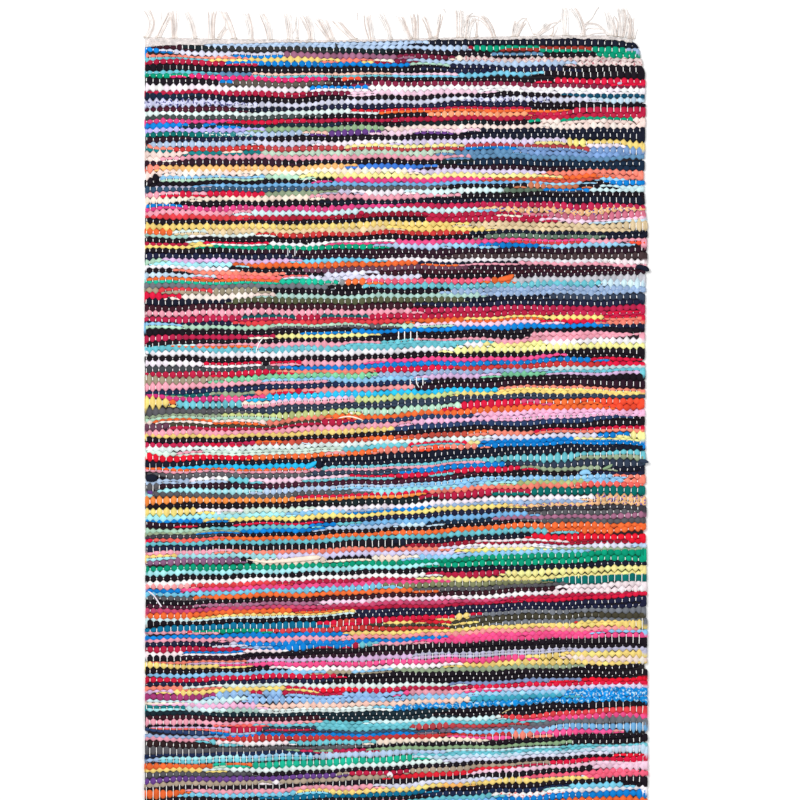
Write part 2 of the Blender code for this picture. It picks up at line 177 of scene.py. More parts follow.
# The picks from the far end to the near one. Each line gives the rags of a pick from left to
# right with the share of the width where each starts. "a+b" is two thin strands in one shed,
# "*0.5" a thin strand and "none" a strand that has run out there. A line that ends in a comma
# runs on in the next one.
pickChart = """
none, .15 paleBlue*.8, .56 navyBlack*.8
none, .135 paleBlue*1.1, .655 darkRed*.6, .67 green*1.1, .72 green+russet*1.3, .80 russet+green*1.4,
  .90 green*1.4, .965 periwinkle+green*1.4
maroonBlack, .09 blackGreen*.8, .135 charcoalGreen*1.5, .37 blackGreen*1.2, .50 black,
  .70 steelBlue+black, .80 black*.8, .91 green*.9
brightBlue, .045 lavenderWhite*.6, .17 lavenderWhite+brightBlue, .285 mauve*.8, .53 maroon,
  .62 cream*.8, .64 beigePrint
coral+turquoise, .13 coral+yellow, .21 yellow*.8, .37 coral*.9, .43 coral+yellow, .46 cream+darkRed,
  .495 maroon*.8, .54 paleBlue, .855 beigePrint*1.1
crimson*1.1, .165 brightBlue+crimson*1.3, .235 brightBlue*.7, .53 mint+black, .615 navy*1.2, .70 navy,
  .86 black*1.3
black*1.2, .20 black*1.4, .58 navy*.9, .69 none
turquoise*.6, .12 steelBlue*.7, .21 peach+turquoise*1.4, .50 palePink+cyan*1.3, .63 cyan, .785 black*1.3
green*1.3, .065 fuchsia*.9, .365 darkMaroon, .40 orangeRed+darkMaroon, .43 maroonBlack, .50 black,
  .795 cherry*1.4
black, .145 brightBlue+taupe, .18 taupe, .365 plumBlack, .43 maroon*1.2, .93 cherry+maroon
whitePink, .33 brightBlue+whitePink*1.4, .45 whitePink
crimson, .30 wine, .345 maroon, .41 palePink*.6, .44 palePink, .69 white*.4
navyTeal, .10 navyBlack, .20 black*1.2, .41 black*.6, .69 black, .84 darkTeal
lavenderPrint, .20 lavenderWhite, .64 lavenderPrint, .80 lavenderWhite, .90 skyWhite
darkMaroon, .20 navyBlack, .35 navy, .77 black
mintWhite*.9, .41 red+mintWhite, .47 red+orange, .56 crimson+orange, .77 black+orange, .85 none
slateGreen, .33 black, .57 peachOrange, .77 crimson
magentaPink*.6, .17 cherry*.8, .30 crimson*.6, .50 crimson*.9, .77 crimson*.7
brightBlue, .08 tealBlack, .135 brightBlue, .17 tealBlack, .37 navyTeal, .41 black, .50 blackGreen,
  .70 black, .765 green+black, .795 palePeach*1.3, .83 green+palePeach*1.5, .975 palePeach*1.4
iris*.8, .22 sageGreen, .48 palePeach, .80 palePeach*1.3
tealGreen*1.3, .13 tealPrint*1.1, .20 paleBlue, .32 peach, .345 purple, .46 palePink,
  .54 palePink+purple, .615 palePink*.8, .65 navyBlack
plumBlack, .08 navy, .24 black, .64 navyBlack
paleBlue*1.3, .22 lavenderWhite*1.2, .345 whitePink, .50 lilacWhite, .775 lilacWhite+paleYellow*1.3,
  .84 yellow*1.2, .88 yellow+whitePink*1.3, .96 yellow*1.2
coral+teal, .06 brickRed*.8, .23 brick*.7, .40 paleYellow+brick, .645 brick+brightBlue*1.3,
  .75 brick+dustyBlue, .885 dustyBlue*1.2
palePeach, .085 teal*.8, .15 cream+teal, .20 teal*.8, .225 mintSage, .60 steelBlue*1.2,
  .75 dustyBlue*1.2
palePeach, .05 pink*.8, .60 pink+steelBlue, .65 steelBlue*.8
plumBlack*1.6, .30 black, .58 blackGreen, .645 navyTeal*1.8
coral, .025 apricot, .415 cornflower*.8, .57 plumBlack, .87 navyTeal*.8
palePeach*.6, .05 palePeach, .20 cream, .54 lilacWhite, .80 coral*1.1
black*1.2, .03 sky+mint, .24 mint, .325 paleYellow, .78 paleYellow+orange*1.2, .84 orange*1.2, .92 coral
black*1.4, .14 black*1.2, .355 magentaPink, .69 rust, .905 skyAqua*1.2
greyLilac*.6, .115 skyBlue*.8, .79 skyAqua*.6, .89 black, .925 brightBlue*.7
slateBlue, .33 slate, .59 black, .75 terracotta, .885 black, .93 aquaWhite*.6
pink*.6, .05 cherry*.9, .10 pink*.8, .115 cherry, .235 sage*.8, .37 greyLilac*.6, .43 white,
  .53 aquaWhite*1.1, .715 mossGrey*.6, .80 brightBlue+charcoal, .885 aquaWhite*.8
cream*1.2, .10 cream, .345 pink, .57 pink+black*1.3, .635 black
black*1.5, .36 navyBlack*1.1
brightBlue+magentaPink*1.9, .08 magentaPink*1.1, .50 raspberry
pink*.65, .195 aquaWhite, .66 peachPrint+skyAqua*1.2, .71 peachPrint*1.2
coralRed, .20 ruby, .38 darkRed, .55 crimson, .70 crimson+cream, .75 dustyPink+crimson, .81 dustyPink
black*.8, .33 black*1.2, .56 crimson, .81 palePink*.8, .88 palePink+skyWhite*.8
yellow*1.2, .63 beige*1.2
orange, .06 mintWhite+beige, .12 beige, .50 yellow, .69 beige
aquaMint*.7, .10 white*.7, .13 mintWhite*.7, .24 brickRed, .635 navyBlack
black, .10 aquaWhite*.7, .12 black, .66 mossGrey, .91 navyBlack
crimson*.8, .09 yellow, .12 cherry+white, .245 white, .36 white+hotPink, .50 hotPink,
  .72 hotPink+coralRed, .88 pink, .96 pink+orangeRed
yellow*.8, .12 green*1.2, .47 periwinkle, .50 paleBlue, .60 skyAqua, .685 brightBlue*1.5, .80 skyAqua*.9
black, .18 plumBlack, .50 plumBlack*1.2
navy, .31 plumBlack, .60 charcoalBrown
mint*.8, .04 lilac*.8, .30 cyan*1.2, .475 white*.8, .92 pinkWhite*1.8
aqua*1.1, .195 orange*1.1, .55 navy+orange, .62 navyBlack+pink*.9, .75 pink*.6, .93 pink*.5
white*.9, .18 black*.8, .30 mulberry, .66 plumBlack*1.2
black, .075 coral, .27 black*.6, .35 lavenderWhite, .45 maroonBlack*.8
skyWhite, .115 salmonRed, .27 salmonRed+lavenderWhite, .33 lavenderWhite*.8, .55 black, .73 plumBlack
orange+seaGreen, .27 seaGreen*1.2, .37 grey, .40 orange*1.3, .46 coralPink, .68 orange*1.2,
  .735 paleGrey*1.5
slateGrey*.8, .38 black, .45 turquoise*.9, .91 skyWhite
sageTan, .035 coralRed+sageTan, .13 sageTan*1.1, .24 black*1.2, .60 periwinkle
cherry, .055 palePeach*1.2, .24 sageAqua, .68 periwinkle
navyBlack*.7, .17 darkOlive*1.1, .64 navyBlack, .80 stormBlue
maroonBlack*1.1, .56 navy*.8
pink*.9, .545 raspberry
raspberry, .19 deepTeal+raspberry*1.2, .295 crimson*1.3, .35 deepTeal+crimson*1.2, .45 crimson*1.2,
  .83 raspberry, .92 cherry+raspberry
navy, .19 coralRed*.7, .53 orange*.8, .64 yellow+orange, .80 yellow*.8, .915 cherry+coral
sky+mint, .08 mint, .25 mint+slate, .45 slate*.8, .49 mint*.8, .545 palePink+mint, .62 palePink,
  .79 cherry+palePink, .84 cherry, .91 coral
black, .31 black+brightBlue, .42 brightBlue, .925 navy
raspberry, .205 raspberry+cream, .255 paleYellow, .46 black
black, .76 pink
aquaWhite+orange*.9, .10 pink+orange, .22 pink, .40 pink+turquoise, .47 turquoise+turquoise,
  .54 pink+turquoise, .70 pink
turquoise*.5, .12 turquoise*.8, .22 turquoise, .63 white, .69 paleYellow, .80 white*.8
white, .60 paleYellow*1.2
black*2.0, .12 black*1.2, .20 black
whitePink, .115 cherry+white, .235 black*.8, .25 cherry+pink, .31 pink, .46 hotPink, .83 black
darkGrey, .285 brightBlue, .915 cherry
crimson*.9, .14 cherry, .28 coral*.6, .46 cherry, .62 brickRed, .92 cherry
sageTan*1.2, .145 mintGreen, .455 periwinkle, .79 aquaWhite
pink*.55, .235 sky+pink, .37 sky, .55 lilac, .69 mintGreen, .80 turquoise+lilac
deepNavy*1.3, .20 deepNavy, .56 black*1.3
tealGreen+sage, .085 deepTeal, .145 sage, .215 darkTeal*.7, .225 coral*.7, .275 cherry*.7,
  .33 salmon*.8, .54 plumBlack*1.2
magenta, .145 hotPink, .225 brightCyan, .70 coral+yellow*1.3
yellow, .05 orange+yellow*.8, .065 turquoise, .19 cream+pink, .25 palePink+pink, .42 yellowGreen,
  .62 yellow*.8
slate, .20 stormBlue, .28 stormBlue+stormBlue, .93 stormBlue*.8
sage+mint, .155 yellowGreen+mint, .27 yellowGreen, .42 mint, .61 cherry*1.1, .77 rose, .81 orange,
  .89 orangeRed
palePeach*.8, .02 orange+palePeach, .14 palePeach+orange, .24 coral*.8, .37 orange, .93 orangeRed
mulberry, .045 oliveBrown+crimson, .355 crimson*1.2, .41 navyBlue*.8, .67 orchidPink
pink, .52 orchidPink, .70 orchidPink+orchidPink
yellow, .495 navyBlue, .96 black
black
raspberry, .12 cherry, .18 raspberry, .225 orange+rust, .27 rust, .44 orange, .52 rust,
  .64 orange+coral, .69 coral, .78 cherry+coral*1.1
mintWhite, .68 lavenderWhite, .915 brightBlue, .955 paleYellow
paleMint, .06 pink+paleMint*1.1, .11 paleMint+paleMint, .39 turquoise, .53 cherry+turquoise*.8,
  .64 paleYellow*.6, .68 brightBlue, .86 paleYellow+brightBlue
scarlet, .205 orange, .36 salmon+orange, .40 orange, .46 coral, .56 orangeRed, .60 coral, .68 brightBlue
navyBlack, .35 navyBlack*1.15
brightCyan, .345 navyBlack
orange+pink, .33 pink*.8, .36 turquoise+pink*1.2, .68 turquoise*1.2, .86 turquoise+sage*1.2
black*1.4, .025 slate*1.2, .33 stormBlue, .48 slateBlue, .52 brightBlue, .72 stormBlue
paleBlue*.3, .05 paleBlue*.5, .09 whitePink+paleBlue, .165 turquoise*.8, .225 palePink,
  .31 palePink+turquoise, .41 cherry+turquoise, .50 cherry, .565 cherry+turquoise, .62 cherry,
  .77 sage*.5, .93 navyBlack
slate*1.2, .03 plumBlack, .22 maroonPlum*1.1, .645 black*1.1, .89 navy
aqua, .22 paleBlue, .37 paleBlue+sky, .52 sky+sky, .72 sky, .95 coral
purple+aqua, .02 slate, .41 paleBlue+slate, .46 aqua, .60 sky, .67 aqua*.9, .72 sageLime, .885 sky,
  .95 coral
amber, .295 cherry+amber*1.2, .56 coral*.8, .86 watermelon
black, .37 blackGreen, .55 crimson+blackGreen, .59 crimson*1.1, .69 crimson+tealGreen, .765 tealGreen
yellow, .125 whitePink, .17 paleMint, .325 whitePink, .88 peachPrint
aqua, .29 sky, .40 periwinkle+brightBlue, .50 brightBlue, .57 periwinkle*.8, .70 periwinkle, .87 none
brightBlue, .12 yellow+brightBlue, .175 yellow, .745 peachPrint
plumBlack, .055 plumBlack+cherry, .105 black, .175 plumBlack+cherry*1.1, .355 plumBlack, .42 navy*1.1,
  .72 charcoal
mint, .14 turquoise, .345 brightBlue, .38 turquoise, .42 skyBlue, .78 slate
sage*.4, .10 sage+brightBlue, .19 brightBlue, .35 paleBlue, .50 skyWhite, .58 navyTeal, .70 mauve*.6
charcoal, .15 plumBlack, .20 black, .77 slate
cherry*.8, .02 watermelon, .145 orange
turquoise, .81 orange+turquoise, .865 orange
navy*1.4, .13 black*1.2, .50 navyBlack, .765 scarlet
none, .53 darkRed*.7, .66 pinkWhite+darkRed, .84 darkRed+darkRed*.8, .97 scarlet
pink*.8, .155 coral*.8, .60 lavenderWhite, .65 white, .80 lavenderWhite, .97 paleBlue
yellow+aqua, .06 aqua, .25 lavender, .63 yellow, .70 paleYellow*.6, .80 sage*.6
mauvePurple, .195 black, .21 cream*1.3, .355 black+cream, .45 cream, .53 sky, .88 none
green
aqua, .43 aqua*.6, .57 green
black, .60 navyBlack
white, .575 crimson, .71 paleYellow
salmon, .10 coralRed, .28 crimson, .50 crimson*.5, .55 paleYellow
brightBlue*1.3, .07 hotPink, .60 none
cyan, .49 olive, .80 tealGreen
slate, .10 orange+slate, .13 orange, .53 slate+orange, .59 slate, .83 none
black, .22 maroonBlack, .83 pinkWhite
maroonPlum, .11 mauve*.7, .345 palePink, .62 white, .80 pinkWhite
rose, .725 crimson
orange, .30 crimson+orange, .39 crimson*.6, .69 crimson*.8, .74 cherry
aquaWhite, .09 yellow+aquaWhite, .42 navy
black, .42 navy
petrolBlue, .352 cherry, .375 brickRed, .41 cherry, .60 yellow, .64 cherry+slate, .675 slateGrey
none, .485 yellow*.6, .55 red, .60 yellow*.6, .64 oliveBrown
none, .45 oliveBrown*.6, .55 oliveBrown, .70 slateGrey
pink*.7, .085 coralRed+pink, .10 green+pink, .15 green*1.1, .245 coralRed, .40 brickRed, .60 none,
  .86 yellow*.8
brightBlue, .40 yellow
pink*.8, .155 pink, .40 salmon
navy*1.5, .155 lavenderWhite, .19 brightBlue, .596 hotPink, .90 sky
crimson, .20 periwinkle*.6, .24 brightBlue, .355 crimson, .38 brightBlue, .40 crimson, .425 turquoise,
  .46 pink, .55 hotPink
pinkWhite, .07 brightBlue+pinkWhite, .20 pinkWhite, .275 none
black*1.2, .09 plumBlack*.8, .18 black
none, .09 plumBlack*.6, .18 plumBlack, .55 black
coral*.8, .085 coral+lilac, .20 lilac, .53 greyLilac+lilac, .62 greyLilac+greyLilac, .85 greyLilac*.7
none, .845 yellow
yellow*.8, .145 hotPink+yellow, .215 hotPink, .77 yellow, .83 creamPink
black, .27 pinkWhite, .615 yellow
sky, .34 sageTan, .42 sky+sageTan, .50 sage*.8, .865 black
cherry, .39 black
navy, .36 black
coral, .08 mintWhite+coral, .16 mintWhite, .625 blueGrey, .80 blueGrey+scarlet, .865 scarlet
lilac*.8, .037 yellow*.8, .28 cherry+yellow, .345 scarlet, .42 cherry, .50 crimson*.8, .64 cherry
purpleMagenta, .13 softBlue, .205 crimson+softBlue, .235 softBlue, .28 crimson+softBlue, .40 softBlue,
  .50 hotPink, .525 pink, .645 hotPink, .69 lilacWhite
aquaWhite+cream, .09 aquaWhite, .20 softBlue, .50 sky, .65 skyAqua, .85 bluePrint
orchidPink, .235 peach, .646 lagoon, .85 bluePrint
teal+aqua, .08 aquaWhite*.8, .15 sageAqua, .23 mintWhite+mintWhite, .46 cyan+mintWhite, .50 bluePrint
tealBlack, .60 black
maroonBlack, .355 tealBlack, .60 black, .87 none
pink, .31 salmon*.6, .35 turquoise, .44 aquaWhite, .71 coralRed
black*.5, .16 watermelon*.6, .235 turquoise, .745 hotPink+turquoise, .80 hotPink
lilac+watermelon, .165 crimson*1.6, .24 stormBlue+crimson, .335 turquoise, .53 brick, .74 slateGrey*.8
none, .24 stormBlue*.5, .36 slateBlue*.7, .56 greyPlum*.6, .80 none
navyBlue, .145 brightBlue, .17 periwinkle+brightBlue, .225 brightBlue, .53 none, .615 sky*.8,
  .83 skyBlue*.9
periwinkle*.5, .145 brickRed*.8, .60 brickRed+hotPink, .73 coral*.8, .79 hotPink*.9, .93 salmon+hotPink
pink, .10 pink+turquoise*1.2, .13 turquoise*1.2, .17 pinkWhite*.5, .295 turquoise*.7, .445 cream,
  .67 none
brownBlack*1.3, .13 none
slate*1.3, .43 black
none, .285 sageGreen*.5, .30 raspberry*1.2, .33 sageGreen+raspberry*1.4, .375 raspberry*1.2,
  .455 sageGreen, .84 black
deepNavy*.4, .07 deepNavy, .335 none
periwinkle*.7, .025 aqua+turquoise*1.4, .19 skyAqua+turquoise*1.3, .335 paleBlue,
  .60 skyWhite+turquoise, .83 turquoise*1.2
none, .54 turquoise*.5, .83 turquoise, .88 lavenderWhite
orange, .13 seaGreen+mint, .16 orange+seaGreen, .21 seaGreen*1.3, .55 skyWhite
yellow, .12 mintWhite+yellow, .165 mintWhite, .60 lavenderWhite, .92 none
slate, .22 black, .945 scarlet*1.8
purple, .38 tan+purple, .41 crimson*.8, .52 tan, .74 tan+crimson, .80 cherry*.9
tan, .24 pinkWhite, .27 tan, .48 red, .64 red*.5, .73 none
none, .65 palePink
black, .90 palePink
none, .76 coralPink
orange, .08 pink+orange, .10 pink, .465 lavenderWhite, .70 none, .88 coralPink
cyan, .30 yellow+cyan, .365 yellow, .59 yellowOrange, .65 yellow, .88 none
black, .25 petrolBlue, .575 black
turquoise, .27 black, .56 deepNavy, .79 deepNavy+aqua, .85 cyan, .965 black
pink, .545 turquoise, .71 coralPrint, .83 white
white, .44 skyBlue, .70 brightBlue
coral, .38 palePink, .72 orange
"""

# Where some of those picks cross the width at five shares of it, in steps of 1.6 mm from a line
# 38 steps beyond the far end: pick, then its places from left to right. They were read off, and
# most had half steps added to them, after measured shifts.
placeShares = (0.03, 0.27, 0.50, 0.75, 0.95)
pickPlaces = (
    (2, 48, 49, 51.5, 55.5, 55), (4, 57.5, 60, 61, 64, 63.5), (6, 67, 71, 69.5, 71.5, 72),
    (8, 75, 80, 79, 80, 82), (10, 87, 90, 88, 87.5, 91), (14, 110, 109.5, 106, 104, 106),
    (17, 121.5, 122, 119.5, 118, 115), (21, 139.5, 138.5, 138, 135, 136.5),
    (24, 154, 153, 153, 152, 155.5), (26, 163, 162.5, 161.5, 162.5, 164.5),
    (32, 189.5, 189, 188, 185, 187.5), (35, 203.5, 204, 202, 199.5, 200),
    (40, 226, 227, 223.5, 224.5, 226), (43, 240, 241, 237, 236.5, 236.5),
    (46, 250.5, 251.5, 252, 250, 250.5), (50, 266.5, 271.5, 267.5, 268, 268),
    (54, 285.5, 286.5, 287, 284.5, 282.5), (57, 302, 300.5, 300.5, 298, 296.5),
    (60, 320, 317.5, 317, 313, 313), (63, 333, 332, 331.5, 326, 325.5), (67, 348.5, 350, 345.5, 344, 340),
    (69, 359, 360, 356, 354.5, 350), (72, 374.5, 372.5, 369.5, 366, 363),
    (75, 393.5, 386.5, 383.5, 378, 377), (79, 412.5, 409.5, 403.5, 395, 396.5),
    (83, 433, 431.5, 423.5, 417, 414.5), (87, 449, 447.5, 441.5, 436.5, 435),
    (91, 468, 466, 462, 452.5, 447.5), (95, 486.5, 485.5, 481.5, 472.5, 473.5),
    (98, 500.5, 500, 494.5, 485, 484.5), (100, 512, 510, 506.5, 497, 498.5),
    (104, 531, 527, 522, 513, 511.5), (107, 540.5, 538, 533.5, 525, 525),
    (109, 548.5, 546.5, 542, 536, 537), (111, 552.5, 551.5, 549, 545.5, 545.5),
    (114, 568.5, 566.5, 562.5, 556.5, 552), (116, 578.5, 575, 571, 567.5, 563),
    (118, 587, 583, 578.5, 579.5, 573), (120, 594.5, 591, 585.5, 582.5, 577),
    (122, 603, 599.5, 595.5, 590.5, 583), (124, 611, 607, 603.5, 598.5, 592),
    (127, 623.5, 620, 614, 608.5, 605), (132, 637.5, 634.5, 633, 625.5, 623.5),
    (135, 649.5, 648, 643, 637, 635), (137, 658.5, 654.5, 648, 642.5, 640),
    (139, 663, 660.5, 657, 651.5, 648), (142, 671.5, 668.5, 667.5, 662, 662.5),
    (144, 680.5, 676, 675, 671.5, 671.5), (146, 688.5, 684.5, 686, 681, 678.5),
    (150, 704.5, 706.5, 703, 696.5, 693), (152, 713, 715, 713, 707.5, 703),
    (154, 722, 723, 721.5, 716.5, 709), (156, 728, 729.5, 727.5, 724.5, 718.5),
    (159, 736.5, 738.5, 736.5, 735, 730), (162, 750.5, 749, 745, 742, 734.5),
    (165, 760.5, 757, 752.5, 749.5, 743.5), (167, 766.5, 764.5, 758.5, 754, 748),
    (169, 774.5, 774, 767.5, 760.5, 754), (173, 788, 786, 780.5, 773, 765),
    (177, 800, 798.5, 793.5, 784.5, 779), (180, 813, 811, 806, 798, 793),
)

# The rest of the length follows the same habits, drawn by lot.
unseenPicks = {
    "count": 33,
    "families": (
        "black navyBlack plumBlack black maroonBlack navy",
        "black slate navyBlack maroon charcoalBrown",
        "cherry crimson raspberry hotPink coralPink pink",
        "yellow orange apricot coral paleYellow",
        "turquoise aqua teal green mint sage",
        "skyBlue brightBlue paleBlue periwinkle iris",
        "white aquaWhite palePink cream pinkWhite",
    ),
    "twin": 0.3,                             # how often a pick carries on with the rags of the one before
    "pair": 0.15,                            # how often two thinner rags share a shed
    "thick": (0.85, 1.15),                   # a rag's thickness by lot
    "rag": (0.16, 0.55),                     # a rag's least share of the width, and how much a lot adds
    "last": 0.95,                            # no new rag starts beyond this share
}
unseenDice = np.random.default_rng(61)       # their own lots, so that a change here moves no charted pick

# Where two rags of a pick lie over each other: its share of the width, and how thick they are there.
laps = {"share": (0.008, 0.045), "thick": 1.15}
pairThick = 1.25                             # two strands in a shed, where the chart gives no thickness


def readRun(text):
    # "a+b*0.5" gives the strands' names and the pick's thickness there
    name, _, size = text.partition("*")
    strands = name.split("+")
    thickness = float(size) if size else (pairThick if len(strands) == 2 else 1.0)
    return strands, 0.0 if name == "none" else thickness


def readPick(line):
    # where each run of rag starts across the width, and what it is
    starts, runs = [], []
    for item in line.split(","):
        words = item.split()
        starts.append(float(words[0]) if len(words) == 2 else 0.0)
        runs.append(readRun(words[-1]))
    return starts, runs


def overlapped(pick):
    # where one rag ends and the next begins both lie in the shed for a few warps, each thinner
    starts, runs = pick
    newStarts, newRuns = starts[:1], runs[:1]
    for start, before, after in zip(starts[1:], runs, runs[1:]):
        lap = lapDice.uniform(*laps["share"])
        single = len(before[0]) == len(after[0]) == 1 and before[1] * after[1] > 0
        if single and start - lap / 2 > newStarts[-1]:
            newStarts.append(start - lap / 2)
            order = (before[0][0], after[0][0]) if lapDice.random() < 0.5 else (after[0][0], before[0][0])
            newRuns.append((list(order), laps["thick"] * (before[1] + after[1]) / 2))
            start += lap / 2
        newStarts.append(start)
        newRuns.append(after)
    return newStarts, newRuns


def unseenRag():
    # one rag from one of the families
    family = unseenPicks["families"][unseenDice.integers(len(unseenPicks["families"]))].split()
    return family[unseenDice.integers(len(family))]


def unseenPick():
    # a made-up pick: one to four rags, now and then two thinner ones together
    starts, runs, place = [], [], 0.0
    while place < unseenPicks["last"]:
        strands = [unseenRag()]
        if unseenDice.random() < unseenPicks["pair"]:
            strands.append(unseenRag())
        starts.append(place)
        thick = unseenDice.uniform(*unseenPicks["thick"])
        runs.append((strands, thick * (pairThick if len(strands) == 2 else 1.0)))
        place += unseenPicks["rag"][0] + unseenPicks["rag"][1] * unseenDice.random()
    return starts, runs


chartLines = pickChart.strip().replace(",\n", ",").split("\n")
picks = [overlapped(readPick(line)) for line in chartLines]
seenPicks = len(picks)
for index in range(unseenPicks["count"]):
    twin = index % 2 == 1 and unseenDice.random() < unseenPicks["twin"]
    picks.append(picks[-1] if twin else unseenPick())
print("rug:", seenPicks, "charted picks and", len(picks) - seenPicks, "unseen ones")
dice.bit_generator.advance(175)              # keeps the lots that the picks' places were fitted with

# Where every pick lies, on columns a quarter of a warp apart. Smoothing is counted in columns.
perWarp = 4
columns = np.arange(rug["warps"] * perWarp + 1) / (rug["warps"] * perWarp)
laying = {
    "thickOver": 6.0,                        # over how many columns a pick's thickness changes,
    "strandOver": 4.0,                       # a second strand comes in,
    "lightOver": 2.0,                        # a light rag follows a dark one
    "placeOver": 34.0,                       # and a pick bends between its places
    "uneven": (0.86, 1.18),                  # each pick's own thickness by lot
    "swells": ((1.1, 60.0), (0.85, 15.0)),   # how much it swells along its length, over how many columns
    "light": (0.25, 0.45),                   # the lightness where rags start to fill out, and over how much
    "endGap": 0.0006,                        # from the outermost picks to the headings
    "present": 0.35,                         # a pick thinner than this begins to give up its room
    "evened": 0.6,                           # over how many picks their rooms are evened out,
    "leastNear": 0.05,                       # and the least that counts as present there
    # slow waves of the picks and of the warps: height, radians across and along, start
    "sway": ((0.0010, 23.0, 31.0, 0.0), (0.0007, 51.0, -83.0, 0.6)),
    "swayFade": (47.0, 1.3),                 # how the first of them comes and goes along the rug
    "drift": ((0.0008, 41.0, 9.0, 0.0), (0.0006, 97.0, 0.0, 2.0)),
    "calm": (40.0, 30.0),                    # how fast both die out at the ends and at the selvedges
}


def lightness(name):
    # 0 for black to 1 for white; where no rag lies a middle tone is enough
    return sum(ragColours.get(name, (120, 120, 120))) / 765


def runTable(which):
    # thickness of every pick at every column, whether it has two strands, or how light its rag is
    found = np.zeros((len(picks), len(columns)))
    for row, (starts, runs) in enumerate(picks):
        at = np.searchsorted(starts, columns, side="right") - 1
        if which == "thickness":
            values = [run[1] for run in runs]
        elif which == "strands":
            values = [float(len(run[0]) == 2) for run in runs]
        else:
            values = [np.mean([lightness(name) for name in run[0]]) for run in runs]
        found[row] = np.asarray(values)[at]
    return found


thickness = smoothed(runTable("thickness"), laying["thickOver"])
thickness *= dice.uniform(*laying["uneven"], size=(len(picks), 1))
thickness *= sum((amount * smoothed(dice.normal(size=thickness.shape), over)
                  for amount, over in laying["swells"]), 1.0)
thickness = np.clip(thickness, 0.0, None)
secondShare = 0.5 * smoothed(runTable("strands"), laying["strandOver"])
fullness = (smoothed(runTable("lightness"), laying["lightOver"]) - laying["light"][0]) / laying["light"][1]
fullness = np.clip(fullness, 0.0, 1.0)
piled = np.cumsum(thickness, axis=0)
middleOfPick = piled - thickness / 2


def placeLine(places):
    # y of a charted pick: through its places, flat near the selvedges, then smoothed
    steps = smoothed(np.interp(columns, placeShares, places)[None, :], laying["placeOver"])[0]
    return rug["length"] / 2 - (steps - rug["farLine"]) * rug["step"]


def layPicks():
    # between two known lines the picks share the room in the measure of their thickness
    x = (columns - 0.5) * rug["width"]
    known = [(None, endLine(farEnd, "inner", x, 1) - laying["endGap"])]
    known += [(pick, placeLine(places)) for pick, *places in pickPlaces]
    known += [(None, endLine(nearEnd, "inner", x, -1) + laying["endGap"])]
    y = np.zeros_like(thickness)
    room = np.zeros_like(thickness)
    lowest = 0
    for start, stop in zip(known, known[1:]):
        startPile = np.zeros(len(columns)) if start[0] is None else middleOfPick[start[0]]
        stopPile = piled[-1] if stop[0] is None else middleOfPick[stop[0]]
        scale = (stop[1] - start[1]) / (stopPile - startPile)
        highest = len(picks) if stop[0] is None else stop[0]
        rows = slice(lowest, highest)
        y[rows] = start[1] + (middleOfPick[rows] - startPile) * scale
        room[rows] = thickness[rows] * -scale / 2
        lowest = highest
    return y, room


pickY, pickRoom = layPicks()
# evened out between the picks that are there; a pick that has run out takes no room
present = np.clip(thickness / laying["present"], 0.0, 1.0)
presentNear = np.maximum(smoothed(present.T, laying["evened"]).T, laying["leastNear"])
pickRoom = present * smoothed(pickRoom.T, laying["evened"]).T / presentNear
along = alongOf(pickY)


def wave(height, across, down, start):
    # a sine over the cloth, from its height, its radians over the width and the length and its start
    return height * np.sin(columns * across + along * down + start)


def calmed(share, speed):
    # 1 over most of the cloth, falling to 0 at both ends of that share
    return np.minimum(1.0, np.minimum(share, 1.0 - share) * speed)


fade, fadeStart = laying["swayFade"]
sway = wave(*laying["sway"][0]) * np.sin(along * fade + fadeStart) + wave(*laying["sway"][1])
warpDrift = wave(*laying["drift"][0]) + wave(*laying["drift"][1])
pickY += sway * calmed(along, laying["calm"][0])
pickX = acrossX(columns[None, :], pickY) + warpDrift * calmed(columns, laying["calm"][1])

# How far each pick hides the warp, 0 to 1: light rags and thin picks more, and by chance.
hiding = {
    "start": 0.10,
    "light": 1.2,                            # added for a rag as light as lightFull or lighter
    "lightFull": 0.45,
    "thick": 0.6,                            # taken off for each millimetre over the usual room
    "usualRoom": 0.0027,
    "byPick": 0.28,                          # by lot for each pick
    "alongPick": (3.6, 50.0),                # by lot along it, over so many columns
}
closeness = hiding["start"] + hiding["light"] * np.minimum(fullness / hiding["lightFull"], 1.0)
closeness = closeness - hiding["thick"] * (pickRoom - hiding["usualRoom"]) / 0.001
closeness = closeness + hiding["byPick"] * dice.normal(size=(len(picks), 1))
chance = smoothed(dice.normal(size=fullness.shape), hiding["alongPick"][1])
closeness = np.clip(closeness + hiding["alongPick"][0] * chance, 0.0, 1.0)
print("rug: picks laid, mean pitch %.2f mm" % (1000 * rug["length"] / piled[-1].mean()))


